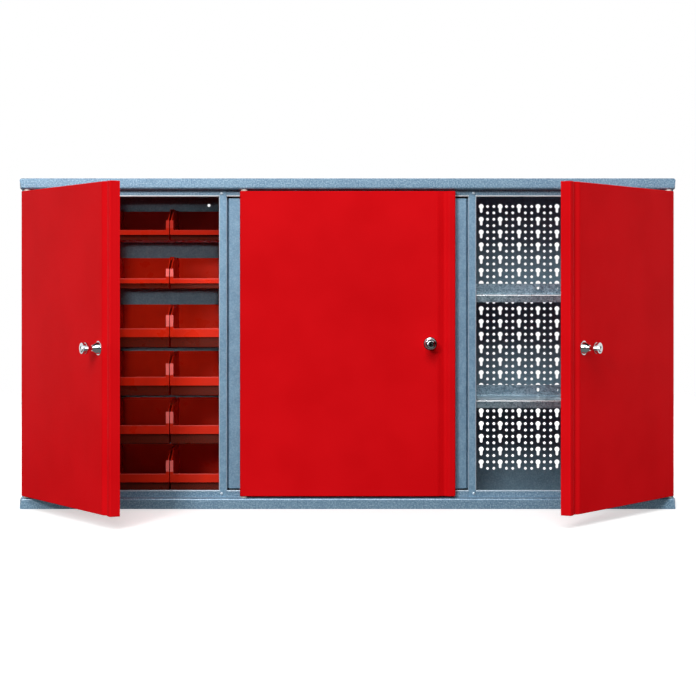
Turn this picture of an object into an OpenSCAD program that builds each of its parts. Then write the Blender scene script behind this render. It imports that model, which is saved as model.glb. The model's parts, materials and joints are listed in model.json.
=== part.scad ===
// Wall cabinet with three doors: parts bins on the left, perforated panels and shelves on the right.
// The row frame has X to the right, Y to the back and Z up, with its origin under the middle of the base.
// Modules measure Y from the front of the flanges, and place() moves them into that frame.

/* [Cabinet] */
// Overall width of the cabinet
cabinet_w = 1190; // [1190:2:1300]
// Overall height of the cabinet
cabinet_h = 600; // [596:1:680]
// Depth of the cabinet from the flanges to the wall
cabinet_d = 200; // [200:1:300]
// Thickness of the folded sheet
sheet_t = 1; // [0.8:0.1:1.2]

/* [Front frame] */
// Height of the flanges along the top and bottom
flange_h = 20; // [18:1:24]
// Radius of the flange's upright corners, seen from above
corner_r = 6; // [4:0.5:10]
// Radius of the top panel's two upper corners, seen from the front
top_corner_r = 5; // [3:0.5:8]
// Radius of the bottom panel's two lower corners, seen from the front
bottom_corner_r = 1.6; // [1.5:0.1:3]
// Radius of the flange's outer edge
flange_edge_r = 2.5; // [1.5:0.5:4]
// Radius of the fold from the flange to its return
return_r = 4; // [2:0.5:6]
// Height of the recessed lip beyond the flange
lip_drop = 12.5; // [11:0.5:16]
// Radius of the rolled edges along the lips and strips
hem_r = 1.5; // [0.8:0.1:1.8]
// Clearance of the walls behind the lips' rolled edges
hem_clear = 0.3; // [0.2:0.05:0.5]
// Width of the upright strips beside each opening
strip_w = 14; // [12:0.5:16]
// Width of a post over both of its strips
post_w = 75; // [72:1:78]

/* [Post covers] */
// Width of the cover strip between the two walls of a post
cover_w = 40; // [34:1:41]
// How far the cover's face lies behind the strips
cover_recess = 2; // [1.5:0.5:4]
// Depth of the cover's folded sides
cover_side_d = 10; // [6:1:16]
// Gap above and below the cover
cover_gap = 3; // [2:0.5:6]

/* [Doors] */
// Gap between two neighbouring doors
door_gap = 3.5; // [3.5:0.5:5]
// Gap above and below each door
door_clear = 3; // [2.5:0.5:4]
// How far the outer doors stop short of the cabinet's ends
door_end_inset = 5; // [4:0.5:8]
// Thickness of a door over its folded edges
door_depth = 18; // [16:1:20]
// Gap behind the closed doors
door_back_gap = 2; // [2:0.5:4]
// Radius of the hinge edges
hinge_edge_r = 4; // [3:0.5:5]
// Radius of the front corner of the free edge
free_edge_r = 1.5; // [1.3:0.1:3]
// Width of the returns round the back of a door
door_return_w = 10; // [8:1:14]
// How far the left door stands open, in degrees
left_open = 58.6; // [40:0.1:70]
// How far the right door stands open, in degrees
right_open = 54.6; // [40:0.1:70]

/* [Door bead] */
// Distance from the free edge to where the pressed bead starts
bead_start = 32; // [28:1:38]
// Distance from the free edge to the bead's deepest line
bead_middle = 19; // [16:1:22]
// Distance from the free edge to where the bead ends
bead_end = 12; // [9:1:14]
// Depth of the bead
bead_depth = 5; // [3:0.5:7]

/* [Hinges] */
// Distance from the hinge edge to the pin
hinge_inset = 7; // [6:0.5:7.5]
// Diameter of the hinge pins
pin_d = 6; // [4:0.5:7]
// Radial clearance of the pins in the doors
pin_clear = 0.05; // [0.02:0.01:0.09]
// Length of pin past the flange
pin_reach = 10; // [7:0.5:14]
// Diameter of the rivet heads on the pins
pin_head_d = 10; // [8:0.5:12]
// Thickness of the rivet heads on the pins
pin_head_t = 2; // [1:0.5:3]
// Diameter of the washers on the pins
washer_d = 12; // [10:0.5:13]
// Running gap between a washer and its door
washer_gap = 0.3; // [0.2:0.05:0.5]

/* [Locks] */
// Distance from the free edge to the lock
lock_from_edge = 45.5; // [44:0.5:50]
// Diameter of the rosette on the door
rosette_d = 24; // [20:1:28]
// Height of the rosette over the door
rosette_h = 12; // [10:0.5:14]
// Diameter of the threaded sleeve through the door
sleeve_d = 16; // [14:0.5:18]
// Width of the lock nut across its flats
nut_af = 22; // [20:0.5:24]
// Thickness of the lock nut
nut_t = 4.5; // [3:0.5:6]
// Diameter of the knob's neck and spindle
neck_d = 7.6; // [7:0.2:8]
// Diameter of the spindle's stub in the cam
stub_d = 6; // [5:0.5:7]
// Radial clearance of the spindle in the sleeve
spindle_clear = 0.05; // [0.02:0.01:0.09]
// Diameter of the knob's head
knob_d = 19; // [16:0.5:22]
// Distance from the door to the near end of the knob's head
knob_start = 20.5; // [16:0.5:22]
// Distance from the door to the far end of the knob's head
knob_end = 31; // [29:0.5:36]
// Diameter of the flat plug face at the end of the knob
plug_d = 10; // [9.2:0.2:11]
// Height of the cone round the plug face
boss_h = 1.2; // [0.6:0.1:2]
// Length of the keyway across the plug
keyway_l = 8; // [6:0.5:9]
// Width of the keyway
keyway_w = 1.6; // [1:0.1:2]
// Diameter of the round part of the keyway
keyway_d = 4.4; // [3:0.2:5]
// Thickness of the cam
cam_t = 2.4; // [1.5:0.1:3]
// Width of the cam's arm
cam_w = 12; // [8:0.5:14]
// Diameter of the cam's hub
cam_hub_d = 16; // [14:0.5:17]
// Distance that the cam's tip stays clear of the post's wall
cam_wall_gap = 3.75; // [2:0.25:6]
// Distance that the cam stays behind the strips' rolled edges, and behind the sleeve
cam_clear = 1; // [0.5:0.1:2]
// Diameter of the cam's screw
cam_screw_d = 3; // [2:0.5:4]
// Length of the cam's screw under its head
cam_screw_l = 8; // [6:0.5:12]
// Diameter of that screw's head
cam_screw_head_d = 9; // [7:0.5:11]
// Thickness of that screw's head
cam_screw_head_t = 2.6; // [1.6:0.2:3.4]

/* [Bins] */
// Width of a bin
bin_w = 104; // [98:0.5:106]
// Length of a bin from its lip to its rear wall
bin_l = 153; // [120:1:153]
// Height of the low bins in the two upper rows
low_bin_h = 59; // [50:1:65]
// Height of the tall bins in the four lower rows
tall_bin_h = 78; // [72:1:80]
// Height of the recessed front below the lip on the low bins
low_front_h = 10; // [7:0.5:12]
// Height of the recessed front below the lip on the tall bins
tall_front_h = 19; // [14:0.5:20]
// Height of the lip band on the low bins
low_lip_h = 9; // [7:0.5:12]
// Height of the lip band on the tall bins
tall_lip_h = 16; // [13:0.5:18]
// Height of the front posts above the lip on the low bins
low_post_h = 17.5; // [12:0.5:19]
// Height of the front posts above the lip on the tall bins
tall_post_h = 24.5; // [18:0.5:26]
// Thickness of the bin walls
bin_wall = 1.8; // [1.4:0.1:2.4]
// How far the lower front lies behind the lip
bin_front_recess = 6; // [4:0.5:10]
// Width of the front posts
bin_post_w = 6; // [4:0.5:9]
// Depth of the front posts
bin_post_d = 3; // [2.5:0.5:5]
// Distance from the lip to where the sides reach their full height
bin_slope_y = 52; // [40:1:70]
// Height of the thicker rim along the top of a bin
bin_rim_h = 6; // [4:0.5:9]
// How far the rim and lip stand out past the side walls
bin_rim_out = 1.2; // [0.8:0.1:1.6]
// Gap between neighbouring bins
bin_gap = 1.5; // [1:0.1:3]
// Gap between the first bin and the post
bin_post_gap = 0.75; // [0.5:0.05:2]
// Distance from the cabinet's top to the top of the first row
top_row_drop = 52.5; // [50:0.5:60]
// Distance from one row of bins to the next
row_pitch = 88.7; // [86:0.1:88.9]

/* [Bin rails] */
// Depth of the rails that the bins hang on
rail_d = 10; // [8:0.5:12]
// Height of the rails
rail_h = 10; // [8:0.5:14]
// Distance from the top of the bins down to the top of their rail
rail_drop = 3; // [1:0.5:6]
// Clearance of the bins' tongues in the rails
tongue_clear = 0.3; // [0.3:0.05:0.6]
// How much the tongue is narrower than the bin on each side
tongue_inset = 10; // [6:1:20]
// Gap between a bin's rear wall and its rail
rail_gap = 0.5; // [0.3:0.1:1]

/* [Shelves] */
// Height of the lower shelf
lower_shelf_z = 195; // [120:1:200]
// Height of the upper shelf
upper_shelf_z = 389; // [300:1:400]
// Distance from the flanges to the shelves' front edge
shelf_setback = 40; // [32:1:90]
// Height of the shelves' front lip
shelf_lip_h = 14; // [10:1:20]
// Height of the shelves' rear flange
shelf_rear_h = 21; // [18:1:30]
// Diameter of the holes in the rear flange
shelf_hole_d = 9; // [5:0.5:10]
// Distance between those holes
shelf_hole_pitch = 42; // [30:1:60]
// Gap at each end of a shelf
shelf_end_gap = 0.5; // [0.4:0.1:2]
// Gap between a shelf and the side panel's rear fold
shelf_fold_gap = 0.3; // [0.2:0.05:0.6]

/* [Perforation] */
// Distance from one column of keyholes to the next
keyhole_pitch_x = 36.3; // [34:0.1:40]
// Distance from one row of keyholes to the next
keyhole_pitch_z = 24.5; // [24:0.1:28]
// Diameter of a keyhole's head
keyhole_d = 9.3; // [8:0.1:10]
// Width of a keyhole's slot
keyhole_slot_w = 5; // [4:0.1:6]
// Distance from the head's centre to the end of the slot
keyhole_l = 12; // [10:0.1:13]
// Diameter of the round holes between the keyholes
dot_d = 5.3; // [4:0.1:6]
// Distance from the bay's wall to the first column of keyholes
perf_margin_x = 35.5; // [30:0.5:45]
// Distance from the cabinet's top to the first row of keyholes
perf_top = 42; // [38:1:60]
// Least distance from the cabinet's underside to the last row of keyholes
perf_bottom = 60; // [50:1:90]

/* [Wall holes and screws] */
// Diameter of the wall screw holes in the left back panel
wall_hole_d = 5.5; // [4:0.5:10]
// Distance from the bay's walls to those holes
wall_hole_inset = 45.25; // [30:0.25:60]
// Distance from the cabinet's top to those holes
wall_hole_drop = 40; // [32:1:45]
// Diameter of the frame screws' heads
screw_head_d = 6; // [5:0.5:7]
// Thickness of the frame screws' heads
screw_head_t = 1.4; // [0.8:0.1:1.6]
// Diameter of the frame screws
screw_d = 3; // [2.5:0.5:4]
// Distance from the strip's edge to the frame screws
screw_inset = 4.75; // [4:0.25:6]
// Distance from the flange to the frame screws
screw_rise = 6; // [5:0.5:7]

/* [Hidden] */
$fn = 48;

BODY_BLUE = [0.49, 0.62, 0.71];
DOOR_RED = [0.80, 0.08, 0.10];
BIN_RED = [0.68, 0.10, 0.06];
GALVANISED = [0.62, 0.67, 0.70];
CHROME = [0.80, 0.80, 0.82];
ZINC = [0.66, 0.67, 0.68];
WASHER_WHITE = [0.88, 0.88, 0.84];

// Room that a cut runs past the face it opens
past = 1;
// Clearance of a shank in the hole of its own body
shank_clear = 0.05;
// Number of straight pieces in a small fold's curve
fold_steps = 6;

// Y of the upright strips' front, behind the closed doors
strip_y = door_depth + door_back_gap;
// Y of the recessed lips' front, and of the first free plane behind their rolled edge
lip_y = strip_y + sheet_t;
behind_lip_y = lip_y + 2 * hem_r + hem_clear;
// Inner face of the back panels
back_y = cabinet_d - sheet_t;
// Z of the recessed lips' edges
lip_low_z = flange_h + lip_drop;
lip_high_z = cabinet_h - lip_low_z;

// Doors: equal widths over the whole front
door_w = (cabinet_w - 2 * door_end_inset - 2 * door_gap) / 3;
door_h = cabinet_h - 2 * (flange_h + door_clear);
door_z = flange_h + door_clear;
hinge_y = door_depth / 2;
outer_hinge_x = cabinet_w / 2 - door_end_inset - hinge_inset;
middle_hinge_x = door_w / 2 - hinge_inset;
free_x = door_w - hinge_inset;

// Posts: each stands behind the gap between two doors
post_x = (door_w + door_gap) / 2;
wall_offset = post_w / 2 - strip_w;
// The outer bays run from a post's wall to a side panel, and the middle bay between the posts
outer_bay_x = post_x + wall_offset;
outer_bay_end = cabinet_w / 2 - 2 * sheet_t;
outer_bay_w = outer_bay_end - outer_bay_x;
middle_bay_w = 2 * (post_x - wall_offset);

// Locks: distances behind the door's face
lock_x = free_x - lock_from_edge;
lock_z = cabinet_h / 2;
cam_front = strip_y + 2 * hem_r + cam_clear;
sleeve_end = cam_front - cam_clear;
cam_l = lock_from_edge + door_gap / 2 - wall_offset - cam_wall_gap;

// Bins and their rails
bin_y = back_y - rail_d - rail_gap - bin_l;
tongue_h = rail_h - 2 * sheet_t - 2 * tongue_clear;
tongue_l = rail_d - sheet_t - 2 * tongue_clear;
function row_top(row) = cabinet_h - top_row_drop - (row - 1) * row_pitch;
function bin_h(row) = row <= 2 ? low_bin_h : tall_bin_h;
function front_h(row) = row <= 2 ? low_front_h : tall_front_h;
function lip_h(row) = row <= 2 ? low_lip_h : tall_lip_h;
function bin_post_h(row) = row <= 2 ? low_post_h : tall_post_h;
function bin_x(column) = -outer_bay_x - bin_post_gap - bin_w / 2 - (column - 1) * (bin_w + bin_gap);

// Points of an arc about a centre, from one angle to another
function arc(centre, radius, from, to, steps = fold_steps) =
    [for (i = [0:steps])
        let (a = from + (to - from) * i / steps)
        [centre[0] + radius * cos(a), centre[1] + radius * sin(a)]];

function corner(centre, radius, from) = radius > 0 ? arc(centre, radius, from, from + 90) : [centre];

// Rectangle with its own radius at each corner, anticlockwise from the origin
function round_rect(w, h, r) = concat(
    corner([r[0], r[0]], r[0], 180),
    corner([w - r[1], r[1]], r[1], 270),
    corner([w - r[2], h - r[2]], r[2], 0),
    corner([r[3], h - r[3]], r[3], 90));

// Outline of a closed door seen from above, drawn in by an inset
function door_outline(inset) = concat(
    arc([-hinge_inset + hinge_edge_r, -hinge_y + hinge_edge_r], hinge_edge_r - inset, 180, 270),
    [[free_x - bead_start, -hinge_y + inset],
     [free_x - bead_middle, -hinge_y + bead_depth + inset],
     [free_x - bead_end, -hinge_y + inset]],
    arc([free_x - free_edge_r, -hinge_y + free_edge_r], free_edge_r - inset, 270, 360),
    [[free_x - inset, hinge_y - inset]],
    arc([-hinge_inset + hinge_edge_r, hinge_y - hinge_edge_r], hinge_edge_r - inset, 90, 180));

// From the front of the flanges to the row frame
module place() {
    translate([0, -cabinet_d / 2, 0]) children();
}

module mirrored(flip) {
    if (flip) mirror([1, 0, 0]) children();
    else children();
}

// Turned over to the cabinet's top
module at_top() {
    translate([0, 0, cabinet_h]) mirror([0, 0, 1]) children();
}

// A sheet standing in the XZ plane, whose front is at the given Y
module upright(y, thick) {
    translate([0, y + thick, 0]) rotate([90, 0, 0]) linear_extrude(thick) children();
}

// A profile drawn in Y and Z, run along X between two places
module along_x(from, to) {
    translate([from, 0, 0]) rotate([90, 0, 90]) linear_extrude(to - from) children();
}

// Block with rounded upright front corners, rounded lower end corners and two rounded front edges
module corner_block(w, d, h, plan_r, end_r, low_r, high_r) {
    intersection() {
        translate([-w / 2, 0, 0]) linear_extrude(h)
            polygon(round_rect(w, d, [plan_r, plan_r, 0, 0]));
        translate([-w / 2, d, 0]) rotate([90, 0, 0]) linear_extrude(d)
            polygon(round_rect(w, h, [end_r, end_r, 0, 0]));
        along_x(-w / 2, w / 2) polygon(round_rect(d, h, [low_r, 0, 0, high_r]));
    }
}

// The bottom panel: a tray with a front flange, a return and a recessed lip with a rolled edge
module panel_tray(end_r) {
    difference() {
        corner_block(cabinet_w, cabinet_d, flange_h, corner_r, end_r, flange_edge_r, return_r);
        translate([0, sheet_t, sheet_t])
            corner_block(cabinet_w - 2 * sheet_t, cabinet_d, flange_h - 2 * sheet_t,
                corner_r - sheet_t, end_r - sheet_t, flange_edge_r - sheet_t, return_r - sheet_t);
        // Open behind the return
        translate([-cabinet_w / 2 + sheet_t, lip_y + sheet_t, sheet_t + return_r])
            cube([cabinet_w - 2 * sheet_t, cabinet_d, flange_h]);
        for (x = [-outer_hinge_x, -middle_hinge_x, outer_hinge_x])
            translate([x, hinge_y, flange_h - sheet_t - past])
                cylinder(d = pin_d + 2 * shank_clear, h = sheet_t + 2 * past);
    }
    difference() {
        upright(lip_y, sheet_t)
            translate([-cabinet_w / 2 + sheet_t, flange_h - sheet_t])
                square([cabinet_w - 2 * sheet_t, lip_drop - hem_r + sheet_t]);
        frame_screw_shanks(screw_d / 2 + shank_clear);
    }
    along_x(-outer_bay_end, outer_bay_end)
        translate([lip_y + hem_r, lip_low_z - hem_r]) circle(hem_r);
}

// Straight shanks at the screws along one lip, shared by the screws and their holes
module frame_screw_shanks(r) {
    for (side = [-1, 1], edge = [-1, 1])
        translate([side * post_x + edge * (post_w / 2 - screw_inset), strip_y, flange_h + screw_rise])
            rotate([-90, 0, 0]) cylinder(r = r, h = 2 * sheet_t + past);
}

module top_panel() {
    color(BODY_BLUE) place() at_top() panel_tray(top_corner_r);
}

module bottom_panel() {
    color(BODY_BLUE) place() panel_tray(bottom_corner_r);
}

// An upright wall whose face is at x = 0 and whose strip runs towards +X in front
module wall_sheet(low, high) {
    translate([-sheet_t, behind_lip_y, low])
        cube([sheet_t, back_y - behind_lip_y, cabinet_h - low - high]);
    translate([-sheet_t, strip_y, lip_low_z])
        cube([sheet_t, behind_lip_y - strip_y + past, cabinet_h - 2 * lip_low_z]);
    upright(strip_y, sheet_t)
        translate([-sheet_t, flange_h])
            square([strip_w + sheet_t - hem_r, cabinet_h - 2 * flange_h]);
    // Rolled edge between the lips
    translate([strip_w - hem_r, strip_y + hem_r, lip_low_z])
        cylinder(r = hem_r, h = cabinet_h - 2 * lip_low_z);
}

module side_panel() {
    translate([-outer_bay_end, 0, 0]) wall_sheet(bottom_corner_r, top_corner_r);
    // Rear fold that the back panel rests on
    upright(back_y - sheet_t, sheet_t)
        translate([-outer_bay_end - sheet_t, bottom_corner_r])
            square([strip_w + sheet_t, cabinet_h - bottom_corner_r - top_corner_r]);
}

module side_left() {
    color(BODY_BLUE) place() side_panel();
}

module side_right() {
    color(BODY_BLUE) place() mirror([1, 0, 0]) side_panel();
}

// One wall of a post, with the screw holes in its strip
module post_wall(x, flip) {
    difference() {
        translate([x, 0, 0]) mirrored(flip) wall_sheet(sheet_t, sheet_t);
        frame_screw_shanks(screw_d / 2 + shank_clear);
        at_top() frame_screw_shanks(screw_d / 2 + shank_clear);
    }
}

module post_wall_1() {
    color(BODY_BLUE) place() post_wall(-post_x - wall_offset, true);
}

module post_wall_2() {
    color(BODY_BLUE) place() post_wall(-post_x + wall_offset, false);
}

module post_wall_3() {
    color(BODY_BLUE) place() post_wall(post_x - wall_offset, true);
}

module post_wall_4() {
    color(BODY_BLUE) place() post_wall(post_x + wall_offset, false);
}

// Hat-section strip that closes a post between its two walls
module post_cover(x) {
    z = lip_low_z + cover_gap;
    seat = wall_offset - sheet_t;
    translate([x, strip_y + cover_recess, z])
        linear_extrude(cabinet_h - 2 * z) {
            translate([-cover_w / 2, 0]) square([cover_w, sheet_t]);
            for (side = [0, 1]) mirror([side, 0]) {
                translate([cover_w / 2 - sheet_t, 0]) square([sheet_t, cover_side_d]);
                translate([cover_w / 2 - sheet_t, cover_side_d - sheet_t])
                    square([seat - cover_w / 2 + sheet_t, sheet_t]);
            }
        }
}

module post_cover_left() {
    color(BODY_BLUE) place() post_cover(-post_x);
}

module post_cover_right() {
    color(BODY_BLUE) place() post_cover(post_x);
}

// Blank of a back panel from the middle of a post to an end of the cabinet, or between two posts
module back_blank(from, to) {
    translate([from, sheet_t]) square([to - from, cabinet_h - 2 * sheet_t]);
}

// Cuts that keep an outer back panel clear of the trays' rounded end corners
module end_corner_cuts() {
    end = cabinet_w / 2 - sheet_t;
    low = bottom_corner_r - sheet_t;
    high = top_corner_r - sheet_t;
    polygon([[end - low, sheet_t], [end + past, sheet_t - past], [end, sheet_t + low]]);
    polygon([[end - high, cabinet_h - sheet_t], [end, cabinet_h - sheet_t - high],
        [end + past, cabinet_h - sheet_t + past]]);
}

module back_left() {
    color(BODY_BLUE) place() upright(back_y, sheet_t) difference() {
        back_blank(-cabinet_w / 2 + sheet_t, -post_x);
        mirror([1, 0]) end_corner_cuts();
        for (x = [outer_bay_x + wall_hole_inset, outer_bay_end - wall_hole_inset])
            translate([-x, cabinet_h - wall_hole_drop]) circle(d = wall_hole_d);
    }
}

// One keyhole with the four round holes beside it
module perforation_cell() {
    slot_end = keyhole_l - keyhole_slot_w / 2;
    circle(d = keyhole_d);
    translate([-keyhole_slot_w / 2, -slot_end]) square([keyhole_slot_w, slot_end]);
    translate([0, -slot_end]) circle(d = keyhole_slot_w);
    for (i = [1, 2], j = [0, 1])
        translate([i * keyhole_pitch_x / 3, -j * keyhole_pitch_z / 2]) circle(d = dot_d);
}

// Keyholes and round holes over a bay that starts at one wall and has the given width
module perforation(start, width) {
    columns = floor((width - 2 * perf_margin_x) / keyhole_pitch_x);
    rows = floor((cabinet_h - perf_top - perf_bottom) / keyhole_pitch_z);
    for (i = [0:columns], j = [0:rows])
        translate([start + perf_margin_x + i * keyhole_pitch_x,
                cabinet_h - perf_top - j * keyhole_pitch_z])
            perforation_cell();
}

module back_middle() {
    color(BODY_BLUE) place() upright(back_y, sheet_t) difference() {
        back_blank(-post_x, post_x);
        perforation(-middle_bay_w / 2, middle_bay_w);
    }
}

module back_right() {
    color(BODY_BLUE) place() upright(back_y, sheet_t) difference() {
        back_blank(post_x, cabinet_w / 2 - sheet_t);
        end_corner_cuts();
        perforation(outer_bay_x, outer_bay_w);
    }
}

// Pan-head screws that hold the strips to the lips
module screw_row() {
    frame_screw_shanks(screw_d / 2);
    for (side = [-1, 1], edge = [-1, 1])
        translate([side * post_x + edge * (post_w / 2 - screw_inset),
                strip_y, flange_h + screw_rise])
            rotate([90, 0, 0])
                cylinder(d1 = screw_head_d, d2 = screw_head_d - screw_head_t, h = screw_head_t);
}

module frame_screws() {
    color(ZINC) place() {
        screw_row();
        at_top() screw_row();
    }
}

// Folded shelf with a lip down in front and a flange up at the back
module shelf(z) {
    from = outer_bay_x + shelf_end_gap;
    to = outer_bay_end - shelf_end_gap;
    middle = (outer_bay_x + outer_bay_end) / 2;
    difference() {
        along_x(from, to) {
            translate([shelf_setback, z - sheet_t]) square([back_y - shelf_setback, sheet_t]);
            translate([shelf_setback, z - shelf_lip_h]) square([sheet_t, shelf_lip_h]);
            translate([back_y - sheet_t, z - sheet_t]) square([sheet_t, shelf_rear_h + sheet_t]);
        }
        for (i = [-1:1])
            translate([middle + i * shelf_hole_pitch, back_y - sheet_t - past, z + shelf_rear_h / 2])
                rotate([-90, 0, 0]) cylinder(d = shelf_hole_d, h = sheet_t + 2 * past);
        // The rear corners stop short of the side panel's fold
        translate([outer_bay_end - strip_w - shelf_end_gap, back_y - sheet_t - shelf_fold_gap,
                z - sheet_t - past])
            cube([strip_w + 2 * past, sheet_t + past, shelf_rear_h + sheet_t + 2 * past]);
    }
}

module shelf_upper() {
    color(GALVANISED) place() shelf(upper_shelf_z);
}

module shelf_lower() {
    color(GALVANISED) place() shelf(lower_shelf_z);
}

// Channel, open to the front, that holds the tongues of one row of bins
module bin_rail(row) {
    z = row_top(row) - rail_drop;
    color(BODY_BLUE) place()
        along_x(-outer_bay_end + strip_w + shelf_end_gap, -outer_bay_x - shelf_end_gap)
            translate([back_y - rail_d, z - rail_h]) difference() {
                square([rail_d, rail_h]);
                translate([-past, sheet_t]) square([rail_d - sheet_t + past, rail_h - 2 * sheet_t]);
            }
}

// A rivet-headed pin through one flange return, at the bottom
module hinge_pin(x) {
    translate([x, hinge_y, flange_h - sheet_t - pin_head_t]) cylinder(d = pin_head_d, h = pin_head_t);
    translate([x, hinge_y, flange_h - sheet_t]) cylinder(d = pin_d, h = sheet_t + pin_reach);
}

module hinge_pins(x) {
    color(ZINC) place() {
        hinge_pin(x);
        at_top() hinge_pin(x);
    }
}

module hinge_pins_left() {
    hinge_pins(-outer_hinge_x);
}

module hinge_pins_middle() {
    hinge_pins(-middle_hinge_x);
}

module hinge_pins_right() {
    hinge_pins(outer_hinge_x);
}

module washer(x) {
    translate([x, hinge_y, flange_h]) difference() {
        cylinder(d = washer_d, h = door_clear - washer_gap);
        translate([0, 0, -past]) cylinder(d = pin_d + 2 * shank_clear, h = door_clear + 2 * past);
    }
}

module hinge_washers() {
    color(WASHER_WHITE) place() for (x = [-outer_hinge_x, -middle_hinge_x, outer_hinge_x]) {
        washer(x);
        at_top() washer(x);
    }
}

// From a closed door's frame, with the hinge pin at its origin, to the cabinet
module on_left_door() {
    place() translate([-outer_hinge_x, hinge_y, 0]) rotate([0, 0, -left_open]) children();
}

module on_middle_door() {
    place() translate([-middle_hinge_x, hinge_y, 0]) children();
}

module on_right_door() {
    mirror([1, 0, 0])
        place() translate([-outer_hinge_x, hinge_y, 0]) rotate([0, 0, -right_open]) children();
}

// Folded door pan, open at the back inside its returns
module door() {
    color(DOOR_RED) difference() {
        translate([0, 0, door_z]) linear_extrude(door_h) polygon(door_outline(0));
        translate([0, 0, door_z + sheet_t])
            linear_extrude(door_h - 2 * sheet_t) polygon(door_outline(sheet_t));
        translate([-hinge_inset + door_return_w, 0, door_z + door_return_w])
            cube([door_w - 2 * door_return_w, door_depth, door_h - 2 * door_return_w]);
        translate([0, 0, door_z - past])
            cylinder(r = pin_d / 2 + pin_clear, h = door_h + 2 * past);
        at_lock() translate([0, 0, -2 * sheet_t])
            cylinder(r = sleeve_d / 2 + shank_clear, h = 3 * sheet_t);
    }
}

module door_left() {
    on_left_door() door();
}

module door_middle() {
    on_middle_door() door();
}

module door_right() {
    on_right_door() door();
}

// From the lock's frame, whose Z points out of the door's face, to the closed door
module at_lock() {
    translate([lock_x, -hinge_y, lock_z]) rotate([90, 0, 0]) children();
}

// Flared rosette with the threaded sleeve behind it
module lock_body() {
    bore_r = neck_d / 2 + spindle_clear;
    color(CHROME) at_lock() rotate_extrude() polygon([
        [bore_r, -sleeve_end],
        [sleeve_d / 2, -sleeve_end],
        [sleeve_d / 2, 0],
        [rosette_d / 2, 0],
        [rosette_d / 2, 0.1 * rosette_h],
        [0.475 * rosette_d, 0.18 * rosette_h],
        [0.4 * rosette_d, 0.36 * rosette_h],
        [0.31 * rosette_d, 0.6 * rosette_h],
        [0.225 * rosette_d, 0.9 * rosette_h],
        [0.21 * rosette_d, rosette_h],
        [bore_r, rosette_h]]);
}

module lock_body_left() {
    on_left_door() lock_body();
}

module lock_body_middle() {
    on_middle_door() lock_body();
}

module lock_body_right() {
    on_right_door() lock_body();
}

// Six-sided nut on the sleeve, against the back of the sheet
module lock_nut() {
    color(ZINC) at_lock() translate([0, 0, -sheet_t - nut_t]) difference() {
        cylinder(d = nut_af / cos(30), h = nut_t, $fn = 6);
        translate([0, 0, -past]) cylinder(r = sleeve_d / 2 + shank_clear, h = nut_t + 2 * past);
    }
}

module lock_nut_left() {
    on_left_door() lock_nut();
}

module lock_nut_middle() {
    on_middle_door() lock_nut();
}

module lock_nut_right() {
    on_right_door() lock_nut();
}

// Turning knob: head, neck and spindle in one, with a coned plug face and its keyway
module lock_knob() {
    chamfer = 1.2;
    boss_r = knob_d / 2 - 1.5 * chamfer;
    ring_depth = 0.8;
    groove_z = (knob_start + knob_end) / 2;
    color(CHROME) at_lock() difference() {
        rotate_extrude() polygon([
            [0, -cam_front - cam_t],
            [stub_d / 2, -cam_front - cam_t],
            [stub_d / 2, -cam_front],
            [neck_d / 2, -cam_front],
            [neck_d / 2, knob_start],
            [knob_d / 2 - chamfer, knob_start],
            [knob_d / 2, knob_start + chamfer],
            [knob_d / 2, groove_z - ring_depth],
            [knob_d / 2 - ring_depth, groove_z],
            [knob_d / 2, groove_z + ring_depth],
            [knob_d / 2, knob_end - chamfer],
            [knob_d / 2 - chamfer, knob_end],
            [boss_r, knob_end],
            [plug_d / 2, knob_end + boss_h],
            [0, knob_end + boss_h]]);
        translate([-keyway_w / 2, -keyway_l / 2, knob_end - keyway_l])
            cube([keyway_w, keyway_l, keyway_l + boss_h + past]);
        translate([0, keyway_l / 6, knob_end - keyway_l])
            cylinder(d = keyway_d, h = keyway_l + boss_h + past);
        translate([0, 0, -cam_front - cam_t - past])
            cylinder(r = cam_screw_d / 2 + shank_clear, h = cam_screw_l + past);
    }
}

module lock_knob_left() {
    on_left_door() lock_knob();
}

module lock_knob_middle() {
    on_middle_door() lock_knob();
}

module lock_knob_right() {
    on_right_door() lock_knob();
}

// Cam plate, turned down to its open position, with the screw that holds it
module lock_cam() {
    color(ZINC) at_lock() translate([0, 0, -cam_front - cam_t]) {
        linear_extrude(cam_t) difference() {
            union() {
                circle(d = cam_hub_d);
                translate([-cam_w / 2, -cam_l + cam_w / 2]) square([cam_w, cam_l - cam_w / 2]);
                translate([0, -cam_l + cam_w / 2]) circle(d = cam_w);
            }
            circle(r = stub_d / 2 + shank_clear);
        }
        translate([0, 0, -cam_screw_head_t])
            cylinder(d1 = cam_screw_head_d - cam_screw_head_t, d2 = cam_screw_head_d, h = cam_screw_head_t);
        cylinder(d = cam_screw_d, h = cam_screw_l - past);
    }
}

module lock_cam_left() {
    on_left_door() lock_cam();
}

module lock_cam_middle() {
    on_middle_door() lock_cam();
}

module lock_cam_right() {
    on_right_door() lock_cam();
}

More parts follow.
